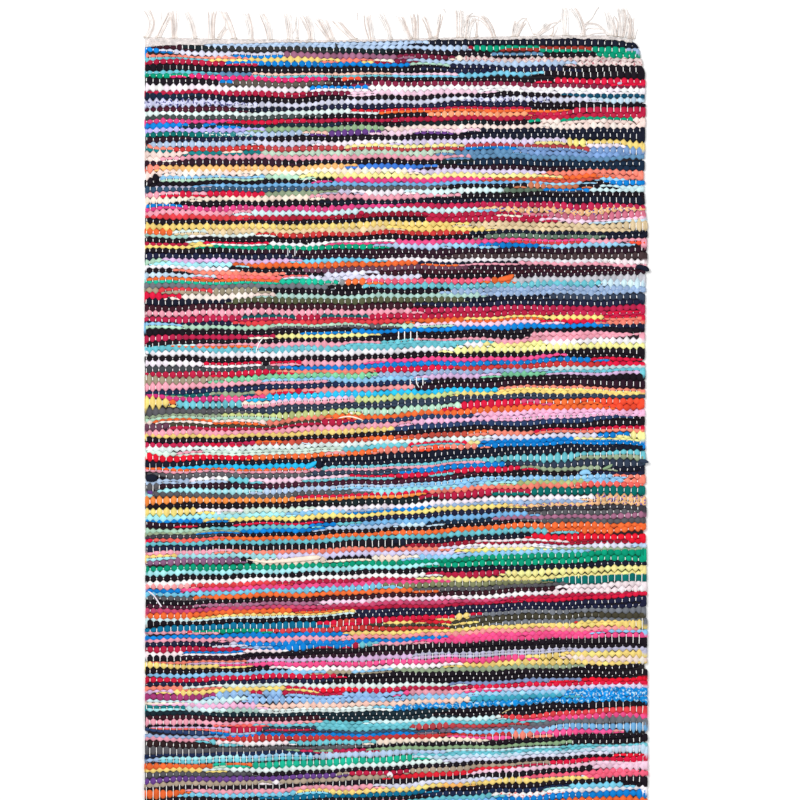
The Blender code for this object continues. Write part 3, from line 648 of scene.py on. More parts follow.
def meshPiece(name, points, faces, colours=None, specks=None, spread=None):
    # one object from arrays of points and four-cornered faces, in the part's own frame
    used = np.unique(faces)
    again = np.zeros(len(points), dtype=np.int64)
    again[used] = np.arange(len(used))
    faces = again[faces]
    place = points[used] - np.array([rug["boxMiddle"][0], rug["boxMiddle"][1], 0.0])
    mesh = bpy.data.meshes.new(name)
    mesh.vertices.add(len(place))
    mesh.vertices.foreach_set("co", place.astype(np.float32).ravel())
    mesh.loops.add(faces.size)
    mesh.loops.foreach_set("vertex_index", faces.astype(np.int32).ravel())
    mesh.polygons.add(len(faces))
    mesh.polygons.foreach_set("loop_start", np.arange(0, faces.size, faces.shape[1], dtype=np.int32))
    for label, values in (("ragColour", colours), ("speckColour", specks)):
        if values is not None:
            attribute = mesh.color_attributes.new(label, "FLOAT_COLOR", "POINT")
            attribute.data.foreach_set("color", values[used].astype(np.float32).ravel())
    if spread is not None:
        layer = mesh.uv_layers.new(name="OFBake")
        layer.data.foreach_set("uv", spread.astype(np.float32).ravel())
    mesh.polygons.foreach_set("use_smooth", np.ones(len(faces), dtype=bool))
    mesh.update(calc_edges=True)
    made = bpy.data.objects.new(name, mesh)
    bpy.context.scene.collection.objects.link(made)
    return made


def gridFaces(rows, cells, first=0, closed=False):
    # four-cornered faces of a grid of points, row after row; closed joins the last cell to the first
    row = np.arange(rows - 1)[:, None] * cells
    cell = np.arange(cells if closed else cells - 1)[None, :]
    after = (cell + 1) % cells
    return np.stack([row + cell, row + cells + cell, row + cells + after, row + after], -1) \
        .reshape(-1, 4) + first


# rag beads: each pick floats over every second warp and dives under the one between
beads = {
    "topAt": (-1.0, -0.80, -0.34, 0.34, 0.80),      # samples of a float, in warps from its middle
    "topDrawn": (0.0, 0.14, 0.20, -0.20, -0.14),    # added to them for a light, springy rag
    "topRise": (0.10, 0.82, 1.0, 1.0, 0.82),
    "topWidth": (0.60, 0.96, 1.32, 1.32, 0.96),     # of a dark, tightly packed rag
    "topFuller": (-0.20, -0.06, 0.36, 0.36, -0.06),  # added to it for a light one
    "closeRise": 0.36,                              # added between floats where the rag hides the warp
    "topAcross": ((-1.0, 0.0), (-0.62, 0.93), (0.62, 0.93), (1.0, 0.0)),
    "topPaintedShade": (0.55, 1.0, 1.0, 0.55),             # painted shade: a bead's colour is darker deep down at its sides, where shade falls
    "notchPaintedShade": (0.60, 0.88),                     # and painted shade between two beads, in a dark rag and a light one
    "lowAt": (-1.0, -0.45, 0.45),
    "lowDrawn": (0.0, 0.0, 0.0),
    "lowRise": (0.0, 0.96, 0.96),
    "lowWidth": (0.8, 1.15, 1.15),
    "lowFuller": (-0.2, 0.15, 0.15),
    # painted shade: an underside bead's colour is darker at its two sides
    "lowPaintedShade": (0.5, 1.0, 0.5),
    "lowAcross": ((-1.0, 0.0), (0.0, 1.0), (1.0, 0.0)),
    "bandsTop": 12,                                 # pieces that each face is cut into, from left to right
    "bandsLow": 6,
    "slotsTop": 9,                                  # rows of strips side by side in the map of each piece
    "slotsLow": 4,
    "leastRoom": 0.0007,                            # thinner than this a strand isn't made
    "leastSecond": 0.1,                             # nor a second strand with a smaller share than this
    "turn": {-1: 0.0016, 1: 0.0050},                # how far inside each selvedge the turns start
    "underTurn": 0.0015,                            # and how far the beads run in under them
    "usualHalf": 0.0038,                            # half width of a strand that stands crest high
    "thinner": 0.28,                                # how much of its height goes with its width
    "plump": (0.55, 1.12),                          # the least and most height, in crests
    "ragLot": 0.05,                                 # by lot: how far a rag's tone strays,
    "beadLot": 0.07,                                # a bead's tone,
    "liftLot": 0.06,                                # its height,
    "sizeLot": 0.10,                                # its width
    "nudgeLot": 0.00028,                            # and its place along the rug
    "brightest": 0.97,                              # no part of a colour goes over this
    "floorGap": 0.00005,                            # the lowest a point may lie
    "mapFill": 0.985,                               # how much of its strip of the map a strand fills,
    "mapRim": (0.06, 0.94),                         # and between which heights of it
}


def atColumns(table, row, share):
    # a pick's row of a table, read at any shares of the width
    return np.interp(share, columns, table[row])


def plumpness(half):
    # a strand's height in crests grows with its half width, within limits
    height = (1.0 - beads["thinner"]) + beads["thinner"] * half / beads["usualHalf"]
    return np.clip(height, *beads["plump"])


def strandColours(row, strand, share, beadOf):
    # colour and specks of one strand by bead, each bead a shade off its neighbours
    starts, runs = picks[row]
    at = np.clip(np.searchsorted(starts, share, side="right") - 1, 0, None)
    names = [run[0][min(strand, len(run[0]) - 1)] for run in runs]
    for index, name in enumerate(names):
        if name == "none":
            names[index] = names[index - 1] if index else names[min(1, len(names) - 1)]
    names = ["grey" if name == "none" else name for name in names]
    ground = dyed([ragColours[name] for name in names])
    ground *= 1.0 + beads["ragLot"] * dice.normal(size=(len(names), 1))
    speck = dyed([printSpecks.get(name, ragColours[name]) for name in names])
    printed = np.array([float(name in printSpecks) for name in names])
    shade = 1.0 + beads["beadLot"] * dice.normal(size=beadOf.max() + 1)
    colours = np.ones((len(share), 4))
    colours[:, :3] = np.clip(ground[at] * shade[beadOf][:, None], 0.0, beads["brightest"])
    specks = np.ones((len(share), 4))
    specks[:, :3] = speck[at]
    specks[:, 3] = printed[at]
    return colours, specks


def strandPoints(row, strand, low):
    # a strand's surface: along it the rise and width of a float repeat every two warps,
    # across it a rounded section falls to the middle layer on both sides
    kind = "low" if low else "top"
    at = np.array(beads[kind + "At"])
    parity = (row + (1 if low else 0)) % 2
    middles = np.arange(parity, rug["warps"] + 1, 2)
    drawn = np.array(beads[kind + "Drawn"])[None, :] \
        * atColumns(fullness, row, np.clip((middles + 0.5) / rug["warps"], 0.0, 1.0))[:, None]
    warpPlace = np.append((middles[:, None] + at[None, :] + drawn).ravel(), middles[-1] + 1.0)
    beadOf = np.minimum(np.arange(len(warpPlace)) // len(at), len(middles) - 1)
    phase = np.arange(len(warpPlace)) % len(at)
    share = np.clip((warpPlace + 0.5) / rug["warps"], 0.0, 1.0)
    middleShare = np.clip((middles[beadOf] + 0.5) / rug["warps"], 0.0, 1.0)

    rise = np.array(beads[kind + "Rise"])[phase] + np.where(phase == 0, beads["closeRise"], 0.0) \
        * atColumns(closeness, row, share)
    full = atColumns(fullness, row, middleShare)
    widen = np.array(beads[kind + "Width"])[phase] + np.array(beads[kind + "Fuller"])[phase] * full
    lift = 1.0 + beads["liftLot"] * dice.normal(size=len(middles))
    size = 1.0 + beads["sizeLot"] * dice.normal(size=len(middles))
    nudge = beads["nudgeLot"] * dice.normal(size=len(middles))
    held = phase > 0

    second = atColumns(secondShare, row, share)
    part = second if strand else 1.0 - second
    offset = -(1.0 - second) if strand else second
    room = atColumns(pickRoom, row, share)
    y = atColumns(pickY, row, share) + offset * room + nudge[beadOf] * held
    x = atColumns(pickX, row, share)
    half = room * part
    height = rug["crest"] * rise * plumpness(half) * np.where(held, lift[beadOf], 1.0)
    width = half * widen * np.where(held, size[beadOf], 1.0)

    section = np.array(beads[kind + "Across"])
    points = np.empty((len(share), len(section), 3))
    points[..., 0] = x[:, None]
    points[..., 1] = y[:, None] + width[:, None] * section[None, :, 0]
    points[..., 2] = rug["midPlane"] + (-1.0 if low else 1.0) * height[:, None] * section[None, :, 1]
    points[..., 2] = np.maximum(points[..., 2], beads["floorGap"])
    # painted shade: colours darker at a bead's deep sides and in the notch between two beads
    dark, light = beads["notchPaintedShade"]
    paintedNotchShade = dark + (light - dark) * full
    deep = np.array(beads[kind + "PaintedShade"])[None, :] * np.where(phase == 0, paintedNotchShade, 1.0)[:, None]
    shown = half > beads["leastRoom"]
    edgeLeft = selvedgeX(alongOf(y), -1) + beads["turn"][-1]
    edgeRight = selvedgeX(alongOf(y), 1) - beads["turn"][1]
    shown &= (x > edgeLeft - beads["underTurn"]) & (x < edgeRight + beads["underTurn"])
    colours, specks = strandColours(row, strand, middleShare, beadOf)
    colours = np.repeat(colours[:, None, :], len(section), axis=1)
    colours[..., :3] *= deep[:, :, None]
    return points, shown, beadOf, colours, specks


def weaveSide(low):
    # every strand of one side of the cloth, gathered and cut into bands across the width
    bands = beads["bandsLow" if low else "bandsTop"]
    points, colours, specks, faces, corners, bandOf = [], [], [], [], [], []
    total = 0
    perBead = len(beads["lowAt" if low else "topAt"])
    bandStep = bands / (rug["warps"] / 2.0 + 0.5)   # a bead's share of a band
    lines = len(picks) + int(np.sum(secondShare.max(axis=1) >= beads["leastSecond"]))
    slots = beads["slotsLow" if low else "slotsTop"]
    perSlot = int(math.ceil(lines / slots))
    line = 0
    for row in range(len(picks)):
        for strand in (0, 1):
            if strand and secondShare[row].max() < beads["leastSecond"]:
                continue
            grid, shown, beadOf, ground, speck = strandPoints(row, strand, low)
            count, cells = grid.shape[:2]
            quads = gridFaces(count, cells).reshape(count - 1, cells - 1, 4)
            keep = shown[:-1] & shown[1:]
            if not keep.any():
                continue
            band = np.minimum((beadOf[:-1] * bandStep).astype(int), bands - 1)
            # the strand's own strip of the band's map
            run = (beadOf[:-1] * bandStep) % 1.0
            step = (np.arange(count - 1) % perBead) / perBead * bandStep
            u0 = (run + step) * beads["mapFill"]
            u1 = u0 + bandStep / perBead * beads["mapFill"]
            v = np.linspace(*beads["mapRim"], cells)
            slot, level = line // perSlot, line % perSlot
            uv = np.empty((count - 1, cells - 1, 4, 2))
            uv[..., 0, 0] = uv[..., 3, 0] = (slot + u0[:, None]) / slots
            uv[..., 1, 0] = uv[..., 2, 0] = (slot + u1[:, None]) / slots
            uv[..., 0, 1] = uv[..., 1, 1] = (level + v[None, :-1]) / perSlot
            uv[..., 2, 1] = uv[..., 3, 1] = (level + v[None, 1:]) / perSlot
            if low:
                quads = quads[..., ::-1]
                uv = uv[..., ::-1, :]
            points.append(grid.reshape(-1, 3))
            colours.append(ground.reshape(-1, 4))
            specks.append(np.repeat(speck, cells, axis=0))
            faces.append(quads[keep].reshape(-1, 4) + total)
            corners.append(uv[keep].reshape(-1, 4, 2))
            bandOf.append(np.repeat(band[keep], cells - 1))
            total += count * cells
            line += 1
    points, colours, specks = (np.concatenate(item) for item in (points, colours, specks))
    faces, corners, bandOf = (np.concatenate(item) for item in (faces, corners, bandOf))
    print("rug:", "underside" if low else "top", "strands", line, "of", slots * perSlot,
          "and", 2 * len(faces), "triangles")
    made = []
    for band in range(bands):
        own = bandOf == band
        name = ("ragsBelow%d" if low else "rags%d") % (band + 1)
        made.append(meshPiece(name, points, faces[own], colours, specks, corners[own]))
    return made


# warp stitches: the white warp shows where it passes over a pick, between two beads
stitch = {
    "colour": (255, 254, 252),
    "halfWidth": 0.00058,
    "drop": 0.0004,                          # from its ridge to its two sides
    "rise": (0.72, 0.24),                    # in an open pick and in one that hides the warp
    "hidden": 1.12,                          # how much of a bead's half width really hides the warp
    "shade": 0.55,                           # painted shade: how much darker a stitch's colour is where the rag hides it and it lies low in the groove
    "least": 0.25,                           # its least reach from the pick's middle, in half widths
    "liftLot": 0.06,                         # by lot: how far its height strays
    "leanLot": 0.00015,                      # and how far it leans
}


def warpStitches(name, low):
    # for every pick and every warp that crosses it: a small ridge along the warp
    rows, warps = np.meshgrid(np.arange(len(picks)), np.arange(rug["warps"]), indexing="ij")
    crosses = (rows + warps) % 2 == (0 if low else 1)
    rows, warps = rows[crosses], warps[crosses]
    column = warps * perWarp + perWarp // 2
    x, y, room = pickX[rows, column], pickY[rows, column], pickRoom[rows, column]
    along = alongOf(y)
    inside = (x > selvedgeX(along, -1) + beads["turn"][-1]) & (x < selvedgeX(along, 1) - beads["turn"][1])
    keep = inside & (room > beads["leastRoom"])
    rows, column, x, y, room = rows[keep], column[keep], x[keep], y[keep], room[keep]
    crown = 1 if low else 2
    kind = "low" if low else "top"
    ends = []
    for after in (1, -1):                    # the bead beside it hides the end of the stitch
        beside = np.clip(rows + after, 0, len(picks) - 1)
        wide = beads[kind + "Width"][crown] + beads[kind + "Fuller"][crown] * fullness[beside, column]
        ends.append(room + pickRoom[beside, column] * (1.0 - stitch["hidden"] * wide))
    plump = plumpness(room) * (1 + stitch["liftLot"] * dice.normal(size=len(x)))
    lean = stitch["leanLot"] * dice.normal(size=len(x))
    hide = closeness[rows, column]
    rise = stitch["rise"][0] * (1 - hide) + stitch["rise"][1] * hide
    points = np.empty((len(x), 2, 3, 3))
    for ring, place in enumerate((-1, 1)):
        for corner, (aside, drop) in enumerate(((-1, stitch["drop"]), (0, 0), (1, stitch["drop"]))):
            points[:, ring, corner, 0] = x + aside * stitch["halfWidth"] + lean * place
            points[:, ring, corner, 1] = y + place * np.clip(ends[ring], stitch["least"] * room, room)
            high = rug["crest"] * rise * plump - drop
            points[:, ring, corner, 2] = rug["midPlane"] + (-1 if low else 1) * high
    one = gridFaces(2, 3)
    if not low:
        one = one[:, ::-1]
    faces = (np.arange(len(x))[:, None, None] * 6 + one[None]).reshape(-1, 4)
    # painted shade: stitches that lie low, where the rag hides the warp, get a darker colour
    tone = np.ones((len(x) * 6, 4))
    tone[:, :3] = linear(stitch["colour"]) * np.repeat(1.0 - stitch["shade"] * hide, 6)[:, None]
    return meshPiece(name, points.reshape(-1, 3), faces, tone)


# selvedge turns: the rag rounds the last warp from one pick to the next
turns = {
    "sides": 8,
    "tail": {-1: 0.0020, 1: 0.0045},         # how far each turn tapers on into its two picks
    "height": 0.96,
    "column": {-1: 3, 1: -4},                # the column of each side where picks are paired up
    "leastRoom": 0.0014,                     # a pick thinner than this there has no turn
    # from inside to the edge: distance from it in depths and in tails, width, height
    "rings": ((1, 1, 0.90, 0.25), (1, 0.6, 0.96, 0.72), (1, 0, 1.02, 0.96), (0.62, 0, 1.04, 1.0),
              (0.32, 0, 1.0, 0.93), (0.12, 0, 0.88, 0.70), (0, 0, 0.62, 0.22)),
    "boxy": (0.7, 0.8),                      # powers that make the round section fuller, across and up
    "shared": -0.1,                          # where round the section the second pick's colour starts
    "edgeLot": 0.0005,                       # by lot: how far the edge strays,
    "tallLot": 0.04,                         # its height
    "toneLot": 0.05,                         # and its tone
}


def edgeColour(row, side):
    # the first and the last strand of a pick's outermost run on that side
    runs = picks[row][1]
    strands = runs[0 if side < 0 else -1][0]
    return strands[0], strands[-1]


def pairTurns(side):
    # picks of one colour share a turn first, the rest pair up as they come
    rooms = pickRoom[:, turns["column"][side]]
    present = [row for row in range(len(picks))
               if rooms[row] > turns["leastRoom"] and edgeColour(row, side)[0] != "none"]
    found, place = [], 0
    while place < len(present):
        row = present[place]
        after = present[place + 1] if place + 1 < len(present) else None
        later = present[place + 2] if place + 2 < len(present) else None
        same = after is not None and edgeColour(row, side)[1] == edgeColour(after, side)[0]
        nextSame = later is not None and edgeColour(after, side)[1] == edgeColour(later, side)[0]
        if after is None or (not same and nextSame):
            found.append((row, row))
            place += 1
        else:
            found.append((row, after))
            place += 2
    return found


def turnPoints(first, second, side):
    # a cushion drawn out along the pick: rings across it, as wide as both picks together, that
    # close to a short edge outside and taper into the two picks inside
    column = turns["column"][side]
    y1, y2 = pickY[first, column], pickY[second, column]
    r1, r2 = pickRoom[first, column], pickRoom[second, column]
    top, low = y1 + r1, y2 - r2
    middle, wide = (top + low) / 2, (top - low) / 2
    edge = selvedgeX(alongOf(middle), side) + side * turns["edgeLot"] * dice.normal()
    tall = turns["height"] * (1 + turns["tallLot"] * dice.normal())
    depth, tail = beads["turn"][side], turns["tail"][side]
    rings = [(edge - side * (depth * deep + tail * far), width, height * tall)
             for deep, far, width, height in turns["rings"]]
    angles = np.arange(turns["sides"]) * 2 * math.pi / turns["sides"]
    across = np.sign(np.cos(angles)) * np.abs(np.cos(angles)) ** turns["boxy"][0]
    crown = np.sign(np.sin(angles)) * np.abs(np.sin(angles)) ** turns["boxy"][1]
    points = np.empty((len(rings), turns["sides"], 3))
    for index, (x, width, height) in enumerate(rings):
        points[index, :, 1] = middle + wide * width * across
        follow = selvedgeX(alongOf(points[index, :, 1]), side) - selvedgeX(alongOf(middle), side)
        points[index, :, 0] = x + follow
        points[index, :, 2] = rug["midPlane"] + rug["crest"] * height * crown
    return points


def selvedgeTurns(name, side):
    # every turn of one selvedge; where two colours meet in a turn each takes its own half
    points, faces, colours, specks, total = [], [], [], [], 0
    for first, second in pairTurns(side):
        rings = turnPoints(first, second, side)
        count = len(rings)
        upper, lower = edgeColour(first, side)[0], edgeColour(second, side)[1]
        angles = np.arange(turns["sides"]) * 2 * math.pi / turns["sides"]
        half = np.tile(np.where(np.cos(angles) > turns["shared"], 0, 1), count)
        shade = 1.0 + turns["toneLot"] * dice.normal()
        colour = np.ones((len(half), 4))
        tones = dyed([ragColours[upper], ragColours[lower]])[half]
        colour[:, :3] = np.clip(tones * shade, 0, beads["brightest"])
        speck = np.ones((len(half), 4))
        speck[:, :3] = dyed([printSpecks.get(upper, ragColours[upper]),
                             printSpecks.get(lower, ragColours[lower])])[half]
        speck[:, 3] = np.array([float(upper in printSpecks), float(lower in printSpecks)])[half]
        faces.append(gridFaces(count, turns["sides"], total, closed=True))
        points.append(rings.reshape(-1, 3))
        colours.append(colour)
        specks.append(speck)
        total += len(half)
    made = meshPiece(name, *(np.concatenate(item) for item in (points, faces, colours, specks)))
    turnOutward(made)
    return made


def turnOutward(made):
    # closed lumps built by rings get their faces turned outwards
    shape = bmesh.new()
    shape.from_mesh(made.data)
    bmesh.ops.recalc_face_normals(shape, faces=shape.faces)
    shape.to_mesh(made.data)
    shape.free()


# ground sheet: a closed middle layer that stops the view through the cloth; its dark colour is a painted
# shade seen between the beads
sheet = {
    "across": 41,                            # points over its width
    "down": 81,                              # and over its length
    "endGap": 0.001,                         # from the rags' ends
    "sideGap": 0.006,                        # from the selvedges, as a share of the width
    "half": 0.0004,                          # half its thickness
}


def paintedShadeSheet(name):
    # a closed thin sheet from selvedge to selvedge and end to end
    share = np.linspace(0, 1, sheet["across"])
    steps = np.linspace(0, 1, sheet["down"])
    nominal = (share[None, :] - 0.5) * rug["width"] + 0 * steps[:, None]
    far = endLine(farEnd, "inner", nominal, 1) - sheet["endGap"]
    near = endLine(nearEnd, "inner", nominal, -1) + sheet["endGap"]
    y = far + (near - far) * steps[:, None]
    x = acrossX(sheet["sideGap"] + (1 - 2 * sheet["sideGap"]) * share[None, :], y)
    top = np.stack([x, y, np.full_like(x, rug["midPlane"] + sheet["half"])], -1)
    low = np.stack([x, y, np.full_like(x, rug["midPlane"] - sheet["half"])], -1)
    count = top.shape[0] * top.shape[1]
    side = gridFaces(sheet["down"], sheet["across"])
    faces = [side, side[:, ::-1] + count]
    index = np.arange(count).reshape(sheet["down"], sheet["across"])
    rim = np.concatenate([index[0, :-1], index[:-1, -1], index[-1, :0:-1], index[:0:-1, 0]])
    after = np.roll(rim, -1)
    faces.append(np.stack([rim, after, after + count, rim + count], -1))
    return meshPiece(name, np.concatenate([top.reshape(-1, 3), low.reshape(-1, 3)]), np.concatenate(faces))


# tubes for yarns: a round section carried along each path
def tubes(paths, radii, sides):
    # the section stands square to the path, its first side level with the floor
    along = np.gradient(paths, axis=1)
    along /= np.linalg.norm(along, axis=2, keepdims=True)
    side = np.cross(along, np.array([0.0, 0.0, 1.0]))
    side /= np.maximum(np.linalg.norm(side, axis=2, keepdims=True), 1e-9)
    up = np.cross(side, along)
    angles = np.arange(sides) * 2 * math.pi / sides
    ring = side[:, :, None] * np.cos(angles)[None, None, :, None] \
        + up[:, :, None] * np.sin(angles)[None, None, :, None]
    points = paths[:, :, None] + ring * radii[:, :, None, None]
    many, rows = paths.shape[:2]
    one = gridFaces(rows, sides, closed=True)
    faces = (np.arange(many)[:, None, None] * rows * sides + one[None]).reshape(-1, 4)
    return points.reshape(-1, 3), faces


def tubeSpread(many, rows, sides):
    # the tubes' own map: length one way, round the section the other, one strip each, a gap between
    u = np.arange(rows) / (rows - 1)
    v = np.arange(sides + 1) / sides * fringe["mapFill"]
    spread = np.empty((many, rows - 1, sides, 4, 2))
    level = np.arange(many)[:, None, None]
    spread[..., 0, 0] = spread[..., 3, 0] = u[:-1][None, :, None]
    spread[..., 1, 0] = spread[..., 2, 0] = u[1:][None, :, None]
    spread[..., 0, 1] = spread[..., 1, 1] = (level + v[:-1][None, None, :]) / many
    spread[..., 2, 1] = spread[..., 3, 1] = (level + v[1:][None, None, :]) / many
    return spread.reshape(-1, 4, 2)


# Rag ends and threads lying loose on the cloth: colour, how flat, and along its middle the places in
# steps from the left selvedge and as in pickPlaces, each with the width there in steps.
looseBits = (
    ("charcoalGreen", 0.7, ((190.6, 43, 1.3), (191.4, 46.5, 2.0), (192.2, 50.5, 1.6))),
    ("navyBlack", 0.9, ((486.6, 42.6, 2), (488.2, 44.5, 3.6), (489.6, 46.4, 1.5))),
    ("greyLilac", 0.5, ((472, 84, 1.5), (474.5, 83.4, 3), (477, 83.6, 1.5))),
    ("black", 0.9, ((10.5, 173.5, 2.5), (10.5, 177.5, 6.5), (10, 182, 3))),
    ("looseYarn", 0.9, ((158, 181.7, 0.8), (160.5, 179.5, 1), (163, 178.8, 0.8))),
    ("looseYarn", 0.9, ((167, 179.4, 0.7), (170, 180, 1), (172, 181.7, 0.6))),
    ("crimson", 0.8, ((214, 214, 3), (216.4, 212.5, 4.5), (219, 214.5, 3))),
    ("black", 0.8, ((161, 245, 4), (161, 242.5, 2.8), (161, 240.5, 1))),
    ("paleGrey", 0.9, ((142.9, 248, 1.2), (142.9, 252, 1.2), (142.9, 256.7, 1.1))),
    ("paleGrey", 0.9, ((150, 246.3, 1.2), (150, 251, 1.2), (150, 256.7, 1.1))),
    ("navyBlack", 0.8, ((490, 266.8, 3.5), (496, 267, 5), (501.5, 269.2, 5.2), (503.8, 271.5, 2.6))),
    ("orange", 0.7, ((352, 280, 4), (358, 279, 5), (364, 278, 6.5), (367, 276, 4), (369, 274.5, 1.2))),
    ("paleGrey", 0.9, ((188.1, 276.6, 1.1), (188.1, 280, 1.1), (188.1, 283.3, 1.1))),
    ("paleGrey", 0.9, ((194.9, 275.7, 1.1), (194.9, 279, 1.1), (194.9, 283.3, 1.1))),
    ("looseYarn", 0.9, ((253.6, 331, 1.1), (253.6, 335, 1.1), (253.6, 340, 1.1))),
    ("looseYarn", 0.9, ((259.6, 331, 1.1), (259.6, 335, 1.1), (259.6, 340.3, 1.1))),
    ("looseYarn", 0.9, ((265.7, 331, 1.1), (265.7, 335, 1.1), (265.7, 340.6, 1.1))),
    ("looseYarn", 0.9, ((271.9, 331.5, 1.1), (271.9, 335, 1.1), (271.9, 341, 1.1))),
    ("looseYarn", 0.9, ((118.1, 338.3, 1.4), (115.2, 341.5, 1.2), (113.5, 344.5, 1.1), (111.8, 349, 1.1),
                        (111, 354, 0.9))),
    ("looseYarn", 0.9, ((265.3, 378.6, 1.1), (265.3, 382, 1.1), (265.3, 385.7, 1.1))),
    ("looseYarn", 0.9, ((271.4, 376, 1.1), (271.4, 383, 1.1), (274.3, 388, 1.0))),
    ("looseYarn", 0.9, ((277.9, 376.7, 1.1), (277.9, 381, 1.1), (277.9, 386, 1.1))),
    ("cream", 0.6, ((192, 418.5, 1), (200, 416.5, 1.4), (207, 416.5, 1.6), (215, 419, 1.5),
                    (219, 421, 0.8))),
    ("looseYarn", 0.9, ((205, 412.5, 1.2), (206.5, 413.3, 2.2), (208, 413, 1.2))),
    ("skyWhite", 0.9, ((156.3, 442, 0.8), (159.9, 443.6, 1), (163.4, 443.6, 1), (166.3, 445.7, 0.7))),
    ("navyBlack", 0.9, ((173.5, 458, 3), (174.5, 463.5, 7), (173, 469, 4))),
    ("brightCyan", 0.7, ((160, 468, 3.5), (165, 466, 5), (169, 463.5, 4.5), (173, 461, 1.5))),
    ("stormBlue", 0.7, ((494, 461, 4.5), (500, 461.2, 4), (504, 462.4, 1))),
    ("sky", 0.7, ((434, 474, 3), (439, 472, 5.5), (442.5, 471.5, 5), (446, 474.5, 2))),
    ("sageGreen", 0.6, ((457, 469, 1.5), (462, 467.5, 3), (465, 466, 3), (467.5, 464, 1))),
    ("navyBlack", 0.9, ((0.6, 478, 6), (5, 478, 8), (10, 478, 8), (12.6, 478, 4))),
    ("cream", 0.5, ((100, 559, 1), (110, 560.5, 1.6), (121, 562.3, 2.2), (135, 561.2, 4), (155, 559, 4.6),
                     (172, 557.3, 5.4), (177, 556.8, 3))),
    ("whitePink", 0.9, ((2.6, 590.7, 1.2), (7.6, 593.6, 1.5), (11, 597.9, 1.5), (14, 602.9, 1.5),
                        (17.6, 607.4, 1.2))),
    ("khaki", 0.6, ((356.4, 713.4, 0.7), (360.7, 710.8, 0.8), (365, 709, 0.8), (366.8, 708, 0.6))),
    ("mintWhite", 0.8, ((351, 717, 2), (353.6, 716, 4), (356, 716.5, 2))),
    ("whitePink", 0.5, ((242, 775.5, 2), (245, 773.4, 5), (247.6, 776.5, 2.5))),
    ("tan", 0.8, ((243.4, 775, 1.5), (245.4, 774.8, 3), (246.6, 776, 1.5))),
)
looseRest = {
    "points": 10,
    "sides": 8,
    "rag": 1.24,                             # where the middle of a rag tip lies, in crests,
    "thread": 1.12,                          # and that of a thread,
    "threadWide": 1.7,                       # which is a bit no wider than this, in steps
    "bend": (41, 2.5),                       # fine points of a bend, and over how many it is smoothed
    "tip": 0.12,                             # radius left at both ends
    "wideLot": 0.04,                         # how far the width strays by lot
}


def bentThrough(places, fine, over, points):
    # a smooth bend through the places: that many columns of numbers, at evenly spread points
    places = np.array(places, float)
    share = np.linspace(0, 1, fine)
    knots = np.linspace(0, 1, len(places))
    bends = [smoothed(np.interp(share, knots, column)[None], over)[0] for column in places.T]
    return np.array(bends)[:, np.linspace(0, fine - 1, points).astype(int)]


def looseEnds(name):
    # each bit bends through its places, closes at both ends and is pressed flat on the beads
    paths, radii, tones, flats = [], [], [], []
    for colour, flat, places in looseBits:
        across, down, wide = bentThrough(places, *looseRest["bend"], looseRest["points"])
        radius = wide / 2 * rug["step"] * (1 + looseRest["wideLot"] * dice.normal(size=len(wide)))
        radius[[0, -1]] *= looseRest["tip"]
        rest = looseRest["thread"] if wide.max() < looseRest["threadWide"] else looseRest["rag"]
        level = np.full(len(wide), rug["midPlane"] + rug["crest"] * rest)
        paths.append(np.stack([across * rug["step"] - rug["width"] / 2,
                               rug["length"] / 2 - (down - rug["farLine"]) * rug["step"], level], -1))
        radii.append(radius)
        tones.append(dyed(ragColours[colour]))
        flats.append(np.full(looseRest["points"] * looseRest["sides"], flat))
    points, faces = tubes(np.array(paths), np.array(radii), looseRest["sides"])
    middle = np.repeat(np.array(paths)[..., 2].ravel(), looseRest["sides"])
    points[:, 2] = middle + (points[:, 2] - middle) * np.concatenate(flats)
    colours = np.ones((len(points), 4))
    colours[:, :3] = np.repeat(tones, looseRest["points"] * looseRest["sides"], axis=0)
    return meshPiece(name, points, faces, colours, np.zeros_like(colours))


# yarn headings: fine picks of cream yarn between the rags and the fringe
heading = {
    "pitch": 0.00215,
    "most": 8,                               # picks where the band is widest
    "middle": 0.0021,                        # height of its middle layer
    "rise": 0.0020,                          # how far a pick stands above and below that
    "strip": 0.0004,                         # from its outer edge to the first pick,
    "gap": 0.0012,                           # and from the last pick to the rags
    "ends": (0.0005, 0.996),                 # the shares of the width between which it lies
    "least": 0.0003,                         # a pick with less room than this has run out
    "bulge": 0.38,                           # how much of its height goes between two warps,
    "swell": (0.88, 0.24),                   # its half width there, and how much it gains over a warp
    "low": 0.6,                              # height left where a pick runs out
    "uneven": (0.15, 2.0),                   # by lot along it, over so many points
    "top": ((-1.25, 0.0), (-0.5, 0.95), (0.5, 0.95), (1.25, 0.0)),
    "under": ((-1.2, 0.0), (0.0, 1.0), (1.2, 0.0)),
}


